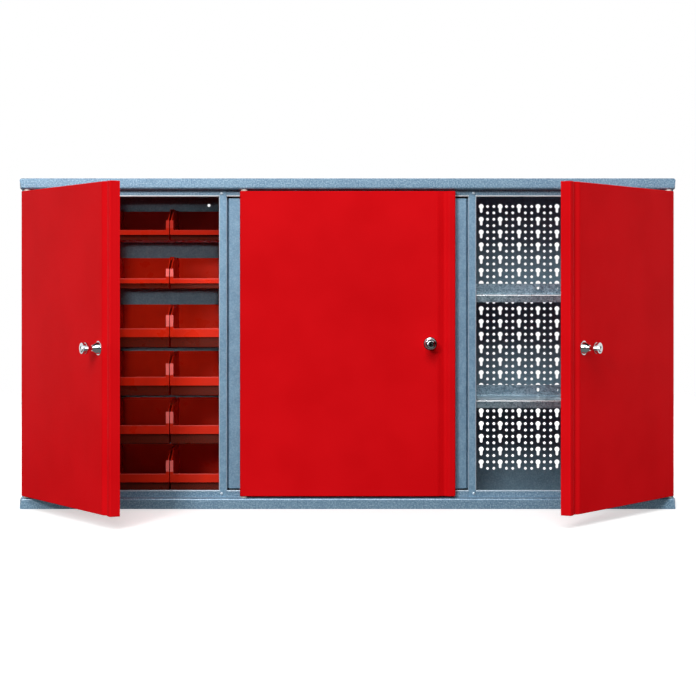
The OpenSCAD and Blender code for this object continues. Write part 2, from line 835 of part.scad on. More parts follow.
// Open-front bin: recessed lower front, thick lip, front posts, sloping sides and a rim
module bin(row, column) {
    h = bin_h(row);
    front_z = front_h(row);
    lip_z = front_z + lip_h(row);
    post_z = lip_z + bin_post_h(row);
    inner_w = bin_w - 2 * bin_rim_out;
    rim_z = h - bin_rim_h;
    tongue_z = h - rail_drop - sheet_t - tongue_clear - tongue_h;
    color(BIN_RED) place() translate([bin_x(column), bin_y, row_top(row) - h]) {
        difference() {
            along_x(-inner_w / 2, inner_w / 2) polygon([
                [bin_front_recess, 0], [bin_l, 0], [bin_l, h], [bin_slope_y, h],
                [bin_post_d, post_z], [0, post_z], [0, front_z], [bin_front_recess, front_z]]);
            along_x(-inner_w / 2 + bin_wall, inner_w / 2 - bin_wall) polygon([
                [bin_front_recess + bin_wall, bin_wall], [bin_l - bin_wall, bin_wall],
                [bin_l - bin_wall, h + past], [-past, h + past], [-past, lip_z],
                [bin_wall, lip_z], [bin_wall, front_z + bin_wall],
                [bin_front_recess + bin_wall, front_z + bin_wall]]);
        }
        // Lip band, as wide as the rim
        translate([-bin_w / 2, 0, front_z]) cube([bin_w, bin_wall, lip_z - front_z]);
        for (side = [0, 1]) mirror([side, 0, 0]) {
            translate([bin_w / 2 - bin_post_w, 0, lip_z])
                cube([bin_post_w, bin_post_d, post_z - lip_z]);
            // Rim along the full-height part of the side
            translate([inner_w / 2 - bin_wall, bin_slope_y, rim_z])
                cube([bin_wall + bin_rim_out, bin_l - bin_slope_y, bin_rim_h]);
        }
        // Tongue that sits in the rail
        translate([-bin_w / 2 + tongue_inset, bin_l - bin_wall, tongue_z])
            cube([bin_w - 2 * tongue_inset, bin_wall + rail_gap + tongue_l, tongue_h]);
    }
}

top_panel();
bottom_panel();
side_left();
side_right();
post_wall_1();
post_wall_2();
post_wall_3();
post_wall_4();
post_cover_left();
post_cover_right();
back_left();
back_middle();
back_right();
frame_screws();
shelf_upper();
shelf_lower();
hinge_pins_left();
hinge_pins_middle();
hinge_pins_right();
hinge_washers();
door_left();
door_middle();
door_right();
lock_body_left();
lock_body_middle();
lock_body_right();
lock_nut_left();
lock_nut_middle();
lock_nut_right();
lock_knob_left();
lock_knob_middle();
lock_knob_right();
lock_cam_left();
lock_cam_middle();
lock_cam_right();
for (row = [1:6])
    bin_rail(row);
for (row = [1:6], column = [1:3])
    bin(row, column);
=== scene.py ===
"""Visual model of a wall cabinet with three doors, parts bins, perforated panels and shelves.

Lengths are in metres in the model's frame: X to the right, Y to the back and Z up.
"""

import json
import logging
import math
from collections.abc import Callable, Sequence
from dataclasses import dataclass
from enum import Enum

import bmesh
import bpy
from mathutils import Matrix, Vector

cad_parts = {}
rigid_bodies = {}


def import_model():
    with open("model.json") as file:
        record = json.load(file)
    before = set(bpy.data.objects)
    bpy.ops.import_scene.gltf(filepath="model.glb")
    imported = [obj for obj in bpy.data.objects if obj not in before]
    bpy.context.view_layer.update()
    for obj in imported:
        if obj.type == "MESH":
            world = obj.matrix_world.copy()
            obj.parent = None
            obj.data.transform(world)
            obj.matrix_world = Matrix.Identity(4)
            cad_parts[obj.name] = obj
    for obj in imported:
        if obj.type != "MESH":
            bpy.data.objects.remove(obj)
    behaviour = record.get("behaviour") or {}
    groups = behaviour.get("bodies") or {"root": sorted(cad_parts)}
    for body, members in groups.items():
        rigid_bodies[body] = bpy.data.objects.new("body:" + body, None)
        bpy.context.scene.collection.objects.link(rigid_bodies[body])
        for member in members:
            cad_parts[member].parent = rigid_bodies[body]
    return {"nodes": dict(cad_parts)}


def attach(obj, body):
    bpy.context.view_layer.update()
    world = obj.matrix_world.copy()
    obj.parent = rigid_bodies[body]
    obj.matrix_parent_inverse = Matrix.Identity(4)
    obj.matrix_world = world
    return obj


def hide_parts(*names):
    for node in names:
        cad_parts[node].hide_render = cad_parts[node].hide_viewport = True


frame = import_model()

log = logging.getLogger("cabinet")

MM = 0.001
TINY = 0.01 * MM
PLAIN_NODES = ("back_left", "back_middle", "back_right")
LEAN = Matrix.Rotation(math.radians(90), 4, "X")

Colour = tuple[float, float, float]
Point = Sequence[float]
Rings = Sequence[tuple[float, float]]
Edge = bmesh.types.BMEdge
Face = bmesh.types.BMFace
Polygon = bpy.types.MeshPolygon


class Side(Enum):
    """The left or right half of the cabinet, as the sign of X."""

    LEFT = -1
    RIGHT = 1


class End(Enum):
    """The lower or upper end of the cabinet."""

    FOOT = 0
    HEAD = 1


def linear(value: int) -> float:
    """Turn one display channel from 0 to 255 into linear light."""
    share = value / 255
    return share / 12.92 if share <= 0.04045 else ((share + 0.055) / 1.055) ** 2.4


def srgb(red: int, green: int, blue: int) -> Colour:
    """Turn a display colour into linear light."""
    return linear(red), linear(green), linear(blue)


# ---------------------------------------------------------------- shader maths


class Term:
    """A shader value that takes part in sums and products."""

    def __init__(self, shader: "Shader", socket: bpy.types.NodeSocket) -> None:
        """Hold an output socket of one shader."""
        self.shader = shader
        self.socket = socket

    def maths(self, operation: str, *values: "Term | float") -> "Term":
        """Return the result of one Math node, with its values in order."""
        return self.shader.node("ShaderNodeMath", {"operation": operation}, dict(enumerate(values)))

    def __add__(self, other: "Term | float") -> "Term":
        """Return the sum."""
        return self.maths("ADD", self, other)

    def __mul__(self, other: "Term | float") -> "Term":
        """Return the product."""
        return self.maths("MULTIPLY", self, other)

    def ramp(self, low: float, high: float, start: float = 0, end: float = 1) -> "Term":
        """Spread the range from low to high smoothly over start to end, clamped."""
        inputs = {"Value": self, "From Min": low, "From Max": high, "To Min": start, "To Max": end}
        return self.shader.node("ShaderNodeMapRange", {"interpolation_type": "SMOOTHSTEP"}, inputs)


class Shader:
    """A node tree under construction."""

    def __init__(self, tree: bpy.types.NodeTree) -> None:
        """Empty a tree and keep it."""
        self.tree = tree
        tree.nodes.clear()

    def node(
        self,
        kind: str,
        settings: dict[str, object] | None = None,
        inputs: dict[str | int, object] | None = None,
        output: str | int = 0,
    ) -> Term:
        """Add a node, set it up and fill its sockets.

        Args:
            kind: The node's type.
            settings: Properties of the node, set before its sockets.
            inputs: Values or terms by socket name or place.
            output: The output to return.

        Returns:
            The chosen output.
        """
        added = self.tree.nodes.new(kind)
        for name, value in (settings or {}).items():
            setattr(added, name, value)
        for name, value in (inputs or {}).items():
            socket = added.inputs[name]
            if isinstance(value, Term):
                self.tree.links.new(value.socket, socket)
            else:
                socket.default_value = value
        return Term(self, added.outputs[output])

    def finish(self, kind: str, shell: Term) -> None:
        """Link the finished shader to a new output node of one kind."""
        self.tree.links.new(shell.socket, self.tree.nodes.new(kind).inputs["Surface"])

    def blend(self, factor: Term | float, low: Term | Colour, high: Term | Colour) -> Term:
        """Mix two colours by the share of the second."""
        first, second = ((*colour, 1.0) if isinstance(colour, tuple) else colour for colour in (low, high))
        return self.node("ShaderNodeMix", {"data_type": "RGBA"}, {0: factor, 6: first, 7: second}, 2)

    def place(self, scale: Point = (1, 1, 1)) -> Term:
        """Return the object's own coordinates, stretched by a scale."""
        where = self.node("ShaderNodeTexCoord", output="Object")
        return self.node("ShaderNodeMapping", inputs={"Vector": where, "Scale": scale})

    def noise(self, scale: float, detail: float = 2, stretch: Point = (1, 1, 1)) -> Term:
        """Return a cloud pattern of so many clouds in a metre, with values around a half."""
        inputs = {"Vector": self.place(stretch), "Scale": scale, "Detail": detail}
        return self.node("ShaderNodeTexNoise", inputs=inputs)

    def cells(self, scale: float, output: str = "Distance") -> Term:
        """Return a pattern of so many cells in a metre."""
        return self.node("ShaderNodeTexVoronoi", inputs={"Vector": self.place(), "Scale": scale}, output=output)

    def stored(self, name: str) -> Term:
        """Return the number that the mesh stores under a name."""
        return self.node("ShaderNodeAttribute", {"attribute_name": name}, output="Fac")

    def bump(self, height: Term, strength: float, distance: float) -> Term:
        """Return a normal raised by a pattern of a depth in metres."""
        inputs = {"Strength": strength, "Distance": distance, "Height": height}
        return self.node("ShaderNodeBump", inputs=inputs)

    def surface(self, inputs: dict[str | int, object]) -> None:
        """Finish the tree with one Principled surface and its output."""
        shell = self.node("ShaderNodeBsdfPrincipled", inputs=inputs)
        self.finish("ShaderNodeOutputMaterial", shell)


# ---------------------------------------------------------------- finishes


@dataclass(frozen=True)
class Finish:
    """A finish with its material, named after the record's slot."""

    slot: str
    colour: Colour

    def material(self) -> bpy.types.Material:
        """Return this finish's material, made once.

        Returns:
            The material.
        """
        name = f"{type(self).__name__}_{self.slot}"
        found = bpy.data.materials.get(name)
        if found is None:
            found = bpy.data.materials.new(name)
            found.use_nodes = True
            self.mix(Shader(found.node_tree))
        return found

    def mix(self, shader: Shader) -> None:
        """Build the node tree in a shader."""
        raise NotImplementedError


@dataclass(frozen=True)
class HammeredEnamel(Finish):
    """Blue-grey enamel with metal flake, a fine hammered skin and a pale painted highlight on marked edges."""

    dark: Colour = srgb(66, 104, 134)
    light: Colour = srgb(176, 200, 214)
    # Pale colour painted on rolled edges and folds as a highlight.
    rubbed: Colour = srgb(238, 248, 252)
    metal: float = 0.35
    mottle: float = 0.5
    dent: float = 0.25 * MM
    coat: float = 0.7

    def mix(self, shader: Shader) -> None:
        """Build the node tree in a shader.

        Args:
            shader: The shader to fill.
        """
        dents = shader.cells(300)
        flakes = shader.noise(380, 2)
        clouds = shader.noise(45, 2)
        fleck = flakes.ramp(0.48, 0.68)
        base = shader.blend(clouds.ramp(0.35, 0.7, 0, 0.25), self.colour, self.dark)
        base = shader.blend(flakes.ramp(0.5, 0.32) * self.mottle, base, self.dark)
        base = shader.blend(fleck * self.mottle, base, self.light)
        # Marked faces are painted paler as a highlight, broken up by the clouds.
        edge = shader.stored("rubbed")
        colour = shader.blend(edge * clouds.ramp(0.2, 0.5, 0.75, 1), base, self.rubbed)
        height = dents.ramp(0.05, 0.6) * 0.7 + flakes * 0.8
        shader.surface(
            {
                "Base Color": colour,
                "Metallic": self.metal,
                "Roughness": flakes.ramp(0.3, 0.7, 0.38, 0.5),
                "Normal": shader.bump(height, 0.7, self.dent),
                "Coat Weight": self.coat,
                "Coat Roughness": 0.16,
            }
        )


@dataclass(frozen=True)
class RearEnamel(HammeredEnamel):
    """The same enamel laid thin and greyer on the flat rear sheets."""

    dark: Colour = srgb(82, 110, 126)
    light: Colour = srgb(150, 172, 184)
    metal: float = 0.05
    mottle: float = 0.3
    coat: float = 0.2


@dataclass(frozen=True)
class StripEnamel(HammeredEnamel):
    """The same enamel drawn smoother on the narrow strips and covers."""

    metal: float = 0.3
    mottle: float = 0.22
    dent: float = 0.12 * MM


@dataclass(frozen=True)
class DoorPaint(Finish):
    """Even red enamel with a fine orange-peel skin."""

    deep: Colour = srgb(200, 5, 12)

    def mix(self, shader: Shader) -> None:
        """Build the node tree in a shader.

        Args:
            shader: The shader to fill.
        """
        peel = shader.noise(420, 2)
        clouds = shader.noise(9, 2)
        grain = shader.noise(1500, 1)
        colour = shader.blend(clouds.ramp(0.3, 0.75, 0, 0.5) + grain * 0.12, self.colour, self.deep)
        shader.surface(
            {
                "Base Color": colour,
                "Roughness": peel.ramp(0.3, 0.7, 0.42, 0.5),
                "Specular IOR Level": 0.02,
                "Normal": shader.bump(peel + grain * 0.4, 0.15, 0.08 * MM),
            }
        )


@dataclass(frozen=True)
class MouldedPlastic(Finish):
    """Glossy injection-moulded plastic: flow marks, pale tabs, a painted highlight on lip and rim edges and
    painted shade on the recessed front under the lip.
    """

    deep: Colour = srgb(166, 26, 10)
    # Pale pink of the tabs, also painted on lip and rim edges as a highlight.
    worn: Colour = srgb(250, 120, 115)
    # Dark colour painted on the recessed front under the lip as shade.
    coarse: Colour = srgb(70, 26, 16)
    roughness: float = 0.26

    def mix(self, shader: Shader) -> None:
        """Build the node tree in a shader.

        Args:
            shader: The shader to fill.
        """
        flow = shader.noise(26, 3, (1, 0.4, 1))
        grain = shader.noise(700, 2)
        base = shader.blend(flow.ramp(0.3, 0.75, 0, 0.3), self.colour, self.deep)
        # The recessed front under the lip is painted darker as shade, broken up by the grain.
        base = shader.blend(shader.stored("field") * grain.ramp(0.3, 0.6, 0.75, 1), base, self.coarse)
        # Pale tabs, and a painted highlight on the lip's and rim's edges.
        colour = shader.blend(shader.stored("wear"), base, self.worn)
        shader.surface(
            {
                "Base Color": colour,
                "Roughness": flow.ramp(0.3, 0.7, self.roughness, self.roughness + 0.12),
                "Specular IOR Level": 0.15,
                "Normal": shader.bump(grain, 0.06, 0.05 * MM),
            }
        )


@dataclass(frozen=True)
class ZincSpangle(Finish):
    """Galvanised sheet with its spangle of crystals, and a pale painted highlight on marked faces."""

    dark: Colour = srgb(120, 152, 170)
    # Pale colour painted on the shelf's front fold as a highlight.
    rubbed: Colour = srgb(240, 244, 246)
    roughness: float = 0.32

    def mix(self, shader: Shader) -> None:
        """Build the node tree in a shader.

        Args:
            shader: The shader to fill.
        """
        tone = shader.cells(420, "Color")
        fine = shader.noise(700, 3, (0.4, 1, 1))
        shade = shader.node("ShaderNodeSeparateColor", inputs={0: tone})
        crystal = shade * 0.4 + fine * 0.8
        base = shader.blend(crystal.ramp(0.25, 0.95), self.dark, self.colour)
        # Marked faces are painted paler as a highlight, broken up by the fine pattern.
        edge = shader.stored("rubbed")
        colour = shader.blend(edge * fine.ramp(0.2, 0.5, 0.6, 1), base, self.rubbed)
        shader.surface(
            {
                "Base Color": colour,
                "Metallic": 0.8,
                "Roughness": crystal.ramp(0.2, 1.0, self.roughness - 0.06, self.roughness + 0.1),
                "Normal": shader.bump(fine, 0.12, 0.05 * MM),
            }
        )


@dataclass(frozen=True)
class PlatedMetal(Finish):
    """Bright or dull plating with fine turning marks."""

    roughness: float = 0.1
    dull: float = 0.1

    def mix(self, shader: Shader) -> None:
        """Build the node tree in a shader.

        Args:
            shader: The shader to fill.
        """
        haze = shader.noise(300, 3)
        marks = shader.noise(2500, 2, (1, 1, 0.2))
        stain = tuple(0.7 * value for value in self.colour)
        colour = shader.blend(haze.ramp(0.45, 0.8, 0, self.dull), self.colour, stain)
        shader.surface(
            {
                "Base Color": colour,
                "Metallic": 1.0,
                "Roughness": haze.ramp(0.3, 0.7, self.roughness, self.roughness + 0.1),
                "Normal": shader.bump(marks, 0.05, 0.02 * MM),
            }
        )


@dataclass(frozen=True)
class PalePlastic(Finish):
    """Milky washer plastic."""

    def mix(self, shader: Shader) -> None:
        """Build the node tree in a shader.

        Args:
            shader: The shader to fill.
        """
        haze = shader.noise(200, 2)
        dull = tuple(0.86 * value for value in self.colour)
        colour = shader.blend(haze.ramp(0.35, 0.7), self.colour, dull)
        grain = shader.bump(shader.noise(1200, 2), 0.1, 0.04 * MM)
        shader.surface({"Base Color": colour, "Roughness": haze.ramp(0.3, 0.7, 0.45, 0.6), "Normal": grain})


ENAMEL = HammeredEnamel("hammered_blue", srgb(112, 145, 169))
STRIP_ENAMEL = StripEnamel("hammered_blue", srgb(118, 155, 181))
REAR_ENAMEL = RearEnamel("hammered_blue", srgb(114, 142, 156))
RED = DoorPaint("red_door_paint", srgb(216, 12, 20))
PLASTIC = MouldedPlastic("red_bin_plastic", srgb(214, 40, 16))
GALVANISED = ZincSpangle("galvanised_steel", srgb(190, 214, 226))
CHROME = PlatedMetal("chrome", srgb(218, 221, 224), 0.07, 0.15)
ZINC = PlatedMetal("zinc_steel", srgb(196, 212, 222), 0.42, 0.4)
WASHER = PalePlastic("pale_plastic", srgb(224, 223, 214))


# ---------------------------------------------------------------- the bench


def middle(edge: Edge) -> Vector:
    """Return an edge's middle."""
    return (edge.verts[0].co + edge.verts[1].co) / 2


def runs(edge: Edge, axis: int) -> bool:
    """Tell whether an edge runs along one axis."""
    step = edge.verts[1].co - edge.verts[0].co
    return step.length > TINY and abs(step[axis]) > 0.999 * step.length


def near(value: float, target: float) -> bool:
    """Tell whether two lengths are the same."""
    return abs(value - target) < TINY


def at(x: float, y: float, z: float) -> Matrix:
    """Return the matrix that moves a piece by a step."""
    return Matrix.Translation((x, y, z))


def bisect(axis: int, place: float) -> None:
    """Bisect what is selected square to one axis."""
    normal = Vector([float(number == axis) for number in range(3)])
    bpy.ops.mesh.bisect(plane_co=place * normal, plane_no=normal, threshold=TINY)


def scaled(profile: Rings, radius: float, height: float, foot: float = 0) -> list[tuple[float, float]]:
    """Return the rings of a profile that is given in shares of a radius and a height."""
    return [(out * radius, foot + up * height) for out, up in profile]


def stepped(radius: float, height: float, *steps: tuple[float, float]) -> list[tuple[float, float]]:
    """Return rings at steps in millimetres from one radius and height."""
    return [(radius + out * MM, height + up * MM) for out, up in steps]


class Piece:
    """One mesh on the bench, shaped with edit-mode operators and modifiers."""

    def __init__(self, name: str) -> None:
        """Take the primitive that was just added, under a name."""
        self.obj = bpy.context.active_object
        self.obj.name = self.obj.data.name = name

    @staticmethod
    def clear() -> None:
        """Leave edit mode and deselect everything."""
        if bpy.context.mode != "OBJECT":
            bpy.ops.object.mode_set(mode="OBJECT")
        bpy.ops.object.select_all(action="DESELECT")

    @classmethod
    def block(cls, name: str, low: Point, high: Point) -> "Piece":
        """Add a block between two corners.

        Args:
            name: The piece's name.
            low: The lowest corner.
            high: The highest corner.

        Returns:
            The piece.
        """
        cls.clear()
        first, last = Vector(low), Vector(high)
        bpy.ops.mesh.primitive_cube_add(size=1, location=(first + last) / 2, scale=last - first)
        return cls(name).settle()

    @classmethod
    def folded(cls, name: str, start: Point, along: Point, folds: Sequence[Point]) -> "Piece":
        """Lay a flat strip and pull its far edge on through each further fold.

        Args:
            name: The piece's name.
            start: The corner where the first flat starts.
            along: The length of every fold line.
            folds: The step across each flat.

        Returns:
            The piece, in edit mode with its last edge selected.
        """
        cls.clear()
        corner, length, first = Vector(start), Vector(along), Vector(folds[0])
        bpy.ops.mesh.primitive_plane_add(size=1)
        piece = cls(name)
        turn = Matrix((length, first, length.cross(first).normalized())).transposed().to_4x4()
        piece.obj.matrix_world = Matrix.Translation(corner + (length + first) / 2) @ turn
        lead = corner + first
        piece.settle().pick_verts(lambda v: (v.co - lead).cross(length).length < TINY * length.length)
        for step in folds[1:]:
            piece.pull(step)
        return piece

    @classmethod
    def turned(cls, name: str, rings: Rings, segments: int = 48) -> "Piece":
        """Build a turned solid up the Z axis from a disc.

        Args:
            name: The piece's name.
            rings: Radius and height of each ring from the foot to the head.
            segments: Number of sides.

        Returns:
            The piece, in edit mode with its head selected.
        """
        cls.clear()
        radius, height = rings[0]
        bpy.ops.mesh.primitive_circle_add(
            vertices=segments, radius=radius, fill_type="NGON", location=(0, 0, height)
        )
        piece = cls(name).settle().whole()
        for next_radius, next_height in rings[1:]:
            piece.pull((0, 0, next_height - height))
            share = next_radius / radius
            bpy.ops.transform.resize(value=(share, share, 1), center_override=(0, 0, next_height))
            radius, height = next_radius, next_height
        return piece

    @classmethod
    def rod(cls, radius: float, foot: float, head: float, segments: int = 32) -> "Piece":
        """Build a plain rod up the Z axis."""
        return cls.turned("rod", [(radius, foot), (radius, head)], segments).tidy()

    def settle(self) -> "Piece":
        """Put the object's place, turn and scale into its mesh."""
        self.activate()
        bpy.ops.object.transform_apply(location=True, rotation=True, scale=True)
        return self

    def activate(self) -> None:
        """Make this the one selected, active object."""
        self.clear()
        self.obj.select_set(True)
        bpy.context.view_layer.objects.active = self.obj

    def edit(self) -> "Piece":
        """Enter edit mode with nothing selected.

        Returns:
            The piece.
        """
        if bpy.context.mode != "EDIT_MESH" or bpy.context.active_object != self.obj:
            self.activate()
            bpy.ops.object.mode_set(mode="EDIT")
        bpy.ops.mesh.select_all(action="DESELECT")
        return self

    def whole(self) -> "Piece":
        """Enter edit mode with everything selected."""
        self.edit()
        bpy.ops.mesh.select_all(action="SELECT")
        return self

    def _pick(self, kind: str, test: Callable[[object], bool]) -> bool:
        """Select the elements of one kind that pass a test, and tell whether there are any.

        Args:
            kind: VERT, EDGE or FACE.
            test: Tells whether an element is wanted.

        Returns:
            Whether any passed.
        """
        self.edit()
        bpy.ops.mesh.select_mode(type=kind)
        mesh = bmesh.from_edit_mesh(self.obj.data)
        mesh.normal_update()
        items = {"VERT": mesh.verts, "EDGE": mesh.edges, "FACE": mesh.faces}[kind]
        found = [bool(test(item)) for item in items]
        for item, chosen in zip(items, found):
            item.select_set(chosen)
        mesh.select_flush_mode()
        bmesh.update_edit_mesh(self.obj.data)
        return any(found)

    def pick_faces(self, test: Callable[[Face], bool]) -> bool:
        """Select the faces that pass a test."""
        return self._pick("FACE", test)

    def pick_edges(self, test: Callable[[Edge], bool]) -> bool:
        """Select the edges that pass a test."""
        return self._pick("EDGE", test)

    def pick_verts(self, test: Callable[[bmesh.types.BMVert], bool]) -> bool:
        """Select the vertices that pass a test."""
        return self._pick("VERT", test)

    def pull(self, step: Point) -> "Piece":
        """Extrude what is selected by a step."""
        bpy.ops.mesh.extrude_region_move(TRANSFORM_OT_translate={"value": tuple(step)})
        return self

    def round(self, test: Callable[[Edge], bool], radius: float, segments: int = 3) -> "Piece":
        """Bevel the edges that pass a test."""
        self.pick_edges(test)
        bpy.ops.mesh.bevel(offset=radius, segments=segments, affect="EDGES", profile=0.5)
        return self

    def round_folds(self, radius: float, segments: int = 4) -> "Piece":
        """Bevel every sharp fold line between two flats."""
        return self.round(lambda e: len(e.link_faces) == 2 and e.calc_face_angle(0) > 1.0, radius, segments)

    def cuts(self, axis: int, places: Sequence[float]) -> "Piece":
        """Bisect the whole mesh square to one axis at several places.

        Args:
            axis: 0, 1 or 2 for X, Y or Z.
            places: Where the cuts lie.

        Returns:
            The piece.
        """
        for place in places:
            self.whole()
            bisect(axis, place)
        return self

    def remove_faces(self, test: Callable[[Face], bool]) -> "Piece":
        """Delete the faces that pass a test."""
        if self.pick_faces(test):
            bpy.ops.mesh.delete(type="FACE")
        return self

    def roll(self, centre: Point, axis: Point) -> "Piece":
        """Roll the selected edge three quarters of the way round a line."""
        bpy.ops.mesh.spin(steps=10, angle=math.radians(270), center=centre, axis=axis)
        return self

    def tidy(self) -> "Piece":
        """Merge doubles and make the faces agree.

        Returns:
            The piece.
        """
        self.whole()
        bpy.ops.mesh.remove_doubles(threshold=TINY)
        bpy.ops.mesh.normals_make_consistent(inside=False)
        return self

    def tidy_sheet(self, front: Point, share: float = 0.5) -> "Piece":
        """Merge a sheet's doubles and turn its outer side to a direction.

        Args:
            front: The direction that the largest flat on the outer side faces.
            share: How closely a face has to look that way to count.

        Returns:
            The piece.
        """
        self.tidy()
        mesh = bmesh.from_edit_mesh(self.obj.data)
        mesh.normal_update()
        facing = [(f.calc_area(), f.normal.dot(Vector(front))) for f in mesh.faces]
        lean = sum(math.copysign(area, dot) for area, dot in facing if abs(dot) > share)
        return self.turn_over() if lean < 0 else self

    def turn_over(self) -> "Piece":
        """Flip every face."""
        self.whole()
        bpy.ops.mesh.flip_normals()
        return self

    def modify(self, kind: str, **settings: object) -> "Piece":
        """Add one modifier and apply it.

        Args:
            kind: The modifier's type.
            **settings: Its properties.

        Returns:
            The piece.
        """
        self.activate()
        modifier = self.obj.modifiers.new(kind.title(), kind)
        for name, value in settings.items():
            setattr(modifier, name, value)
        bpy.ops.object.modifier_apply(modifier=modifier.name)
        return self

    def thicken(self, thickness: float) -> "Piece":
        """Give an open sheet its thickness, inwards."""
        return self.modify("SOLIDIFY", thickness=thickness, offset=-1, use_even_offset=True)

    def soften(self, radius: float, angle: float = 40) -> "Piece":
        """Round every edge sharper than an angle in degrees."""
        limit = {"limit_method": "ANGLE", "angle_limit": math.radians(angle), "use_clamp_overlap": True}
        return self.modify("BEVEL", width=radius, segments=2, **limit)

    def combine(self, operation: str, other: "Piece") -> "Piece":
        """Combine another piece with this one by a boolean operation, and use it up."""
        self.modify("BOOLEAN", operation=operation, object=other.obj, solver="EXACT")
        bpy.data.objects.remove(other.obj)
        return self

    def bore(self, cutter: "Piece") -> "Piece":
        """Cut another piece out of this one."""
        return self.combine("DIFFERENCE", cutter)

    def join(self, *others: "Piece") -> "Piece":
        """Take other pieces into this one.

        Args:
            *others: The pieces to take in.

        Returns:
            The piece.
        """
        self.activate()
        for other in others:
            other.obj.select_set(True)
        bpy.ops.object.join()
        return self

    def move(self, matrix: Matrix) -> "Piece":
        """Move the mesh by a matrix, and flip it where the matrix mirrors.

        Args:
            matrix: The matrix.

        Returns:
            The piece.
        """
        self.clear()
        self.obj.data.transform(matrix)
        self.obj.data.update()
        return self.turn_over() if matrix.determinant() < 0 else self

    def copy(self, name: str, matrix: Matrix) -> "Piece":
        """Return a copy with its own mesh, moved by a matrix.

        Args:
            name: The name.
            matrix: The matrix.

        Returns:
            The copy.
        """
        self.clear()
        twin = self.obj.copy()
        twin.data = self.obj.data.copy()
        bpy.context.scene.collection.objects.link(twin)
        bpy.context.view_layer.objects.active = twin
        return Piece(name).move(matrix)

    def drop(self) -> None:
        """Take the piece off the bench."""
        self.clear()
        bpy.data.objects.remove(self.obj)

    def smooth(self, angle: float = 35) -> "Piece":
        """Shade smooth below an angle, with flats kept flat."""
        self.activate()
        bpy.ops.object.shade_smooth_by_angle(angle=math.radians(angle))
        return self.modify("WEIGHTED_NORMAL", keep_sharp=True, weight=50)

    def mark(self, name: str, amount: Callable[[Polygon], float]) -> "Piece":
        """Store a number on every face under a name.

        Args:
            name: The name.
            amount: Gives the number for a face.

        Returns:
            The piece.
        """
        self.clear()
        marks = self.obj.data.attributes.new(name, "FLOAT", "FACE")
        for face in self.obj.data.polygons:
            marks.data[face.index].value = amount(face)
        return self

    def fade(self, name: str, share: float) -> "Piece":
        """Scale the number stored on every face."""
        for mark in self.obj.data.attributes[name].data:
            mark.value *= share
        return self

    def dress(self, name: str, finish: Finish, body: str, *nodes: str) -> "Piece":
        """Give the piece its name, its finish, its body and the nodes it stands for.

        Args:
            name: The name.
            finish: The finish.
            body: The body that it moves with.
            *nodes: The nodes that it replaces.

        Returns:
            The piece.
        """
        self.clear()
        self.obj.name = self.obj.data.name = name
        self.obj.data.materials.clear()
        self.obj.data.materials.append(finish.material())
        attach(self.obj, body)
        if nodes:
            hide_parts(*nodes)
        faces = len(self.obj.data.polygons)
        log.info("%s: %d faces, in place of %s", self.obj.name, faces, ", ".join(nodes) or "nothing")
        return self


# ---------------------------------------------------------------- the carcass


@dataclass(frozen=True)
class Carcass:
    """Sizes of the cabinet that several sub-assemblies share."""

    width: float = 1190 * MM
    height: float = 600 * MM
    sheet: float = 1 * MM
    flange: float = 20 * MM
    lip: float = 12.5 * MM
    roll: float = 1.5 * MM
    strip: float = 14 * MM
    strip_y: float = -80 * MM
    lip_y: float = -79 * MM
    wall_y: float = -75.7 * MM
    back_y: float = 99 * MM
    front_y: float = -100 * MM
    post_x: float = 197.25 * MM
    wall_offset: float = 23.5 * MM
    bay_start: float = 220.75 * MM
    bay_end: float = 593 * MM
    pins: tuple[float, ...] = (-583 * MM, -188.5 * MM, 583 * MM)
    pin_y: float = -91 * MM
    pin_bore: float = 3.05 * MM

    @property
    def lip_z(self) -> float:
        """Height of the lower lip's edge."""
        return self.flange + self.lip


CARCASS = Carcass()


def at_end(end: End) -> Matrix:
    """Return the matrix from the cabinet's foot to one of its ends."""
    if end is End.FOOT:
        return Matrix.Identity(4)
    return at(0, 0, CARCASS.height) @ Matrix.Scale(-1, 4, (0, 0, 1))


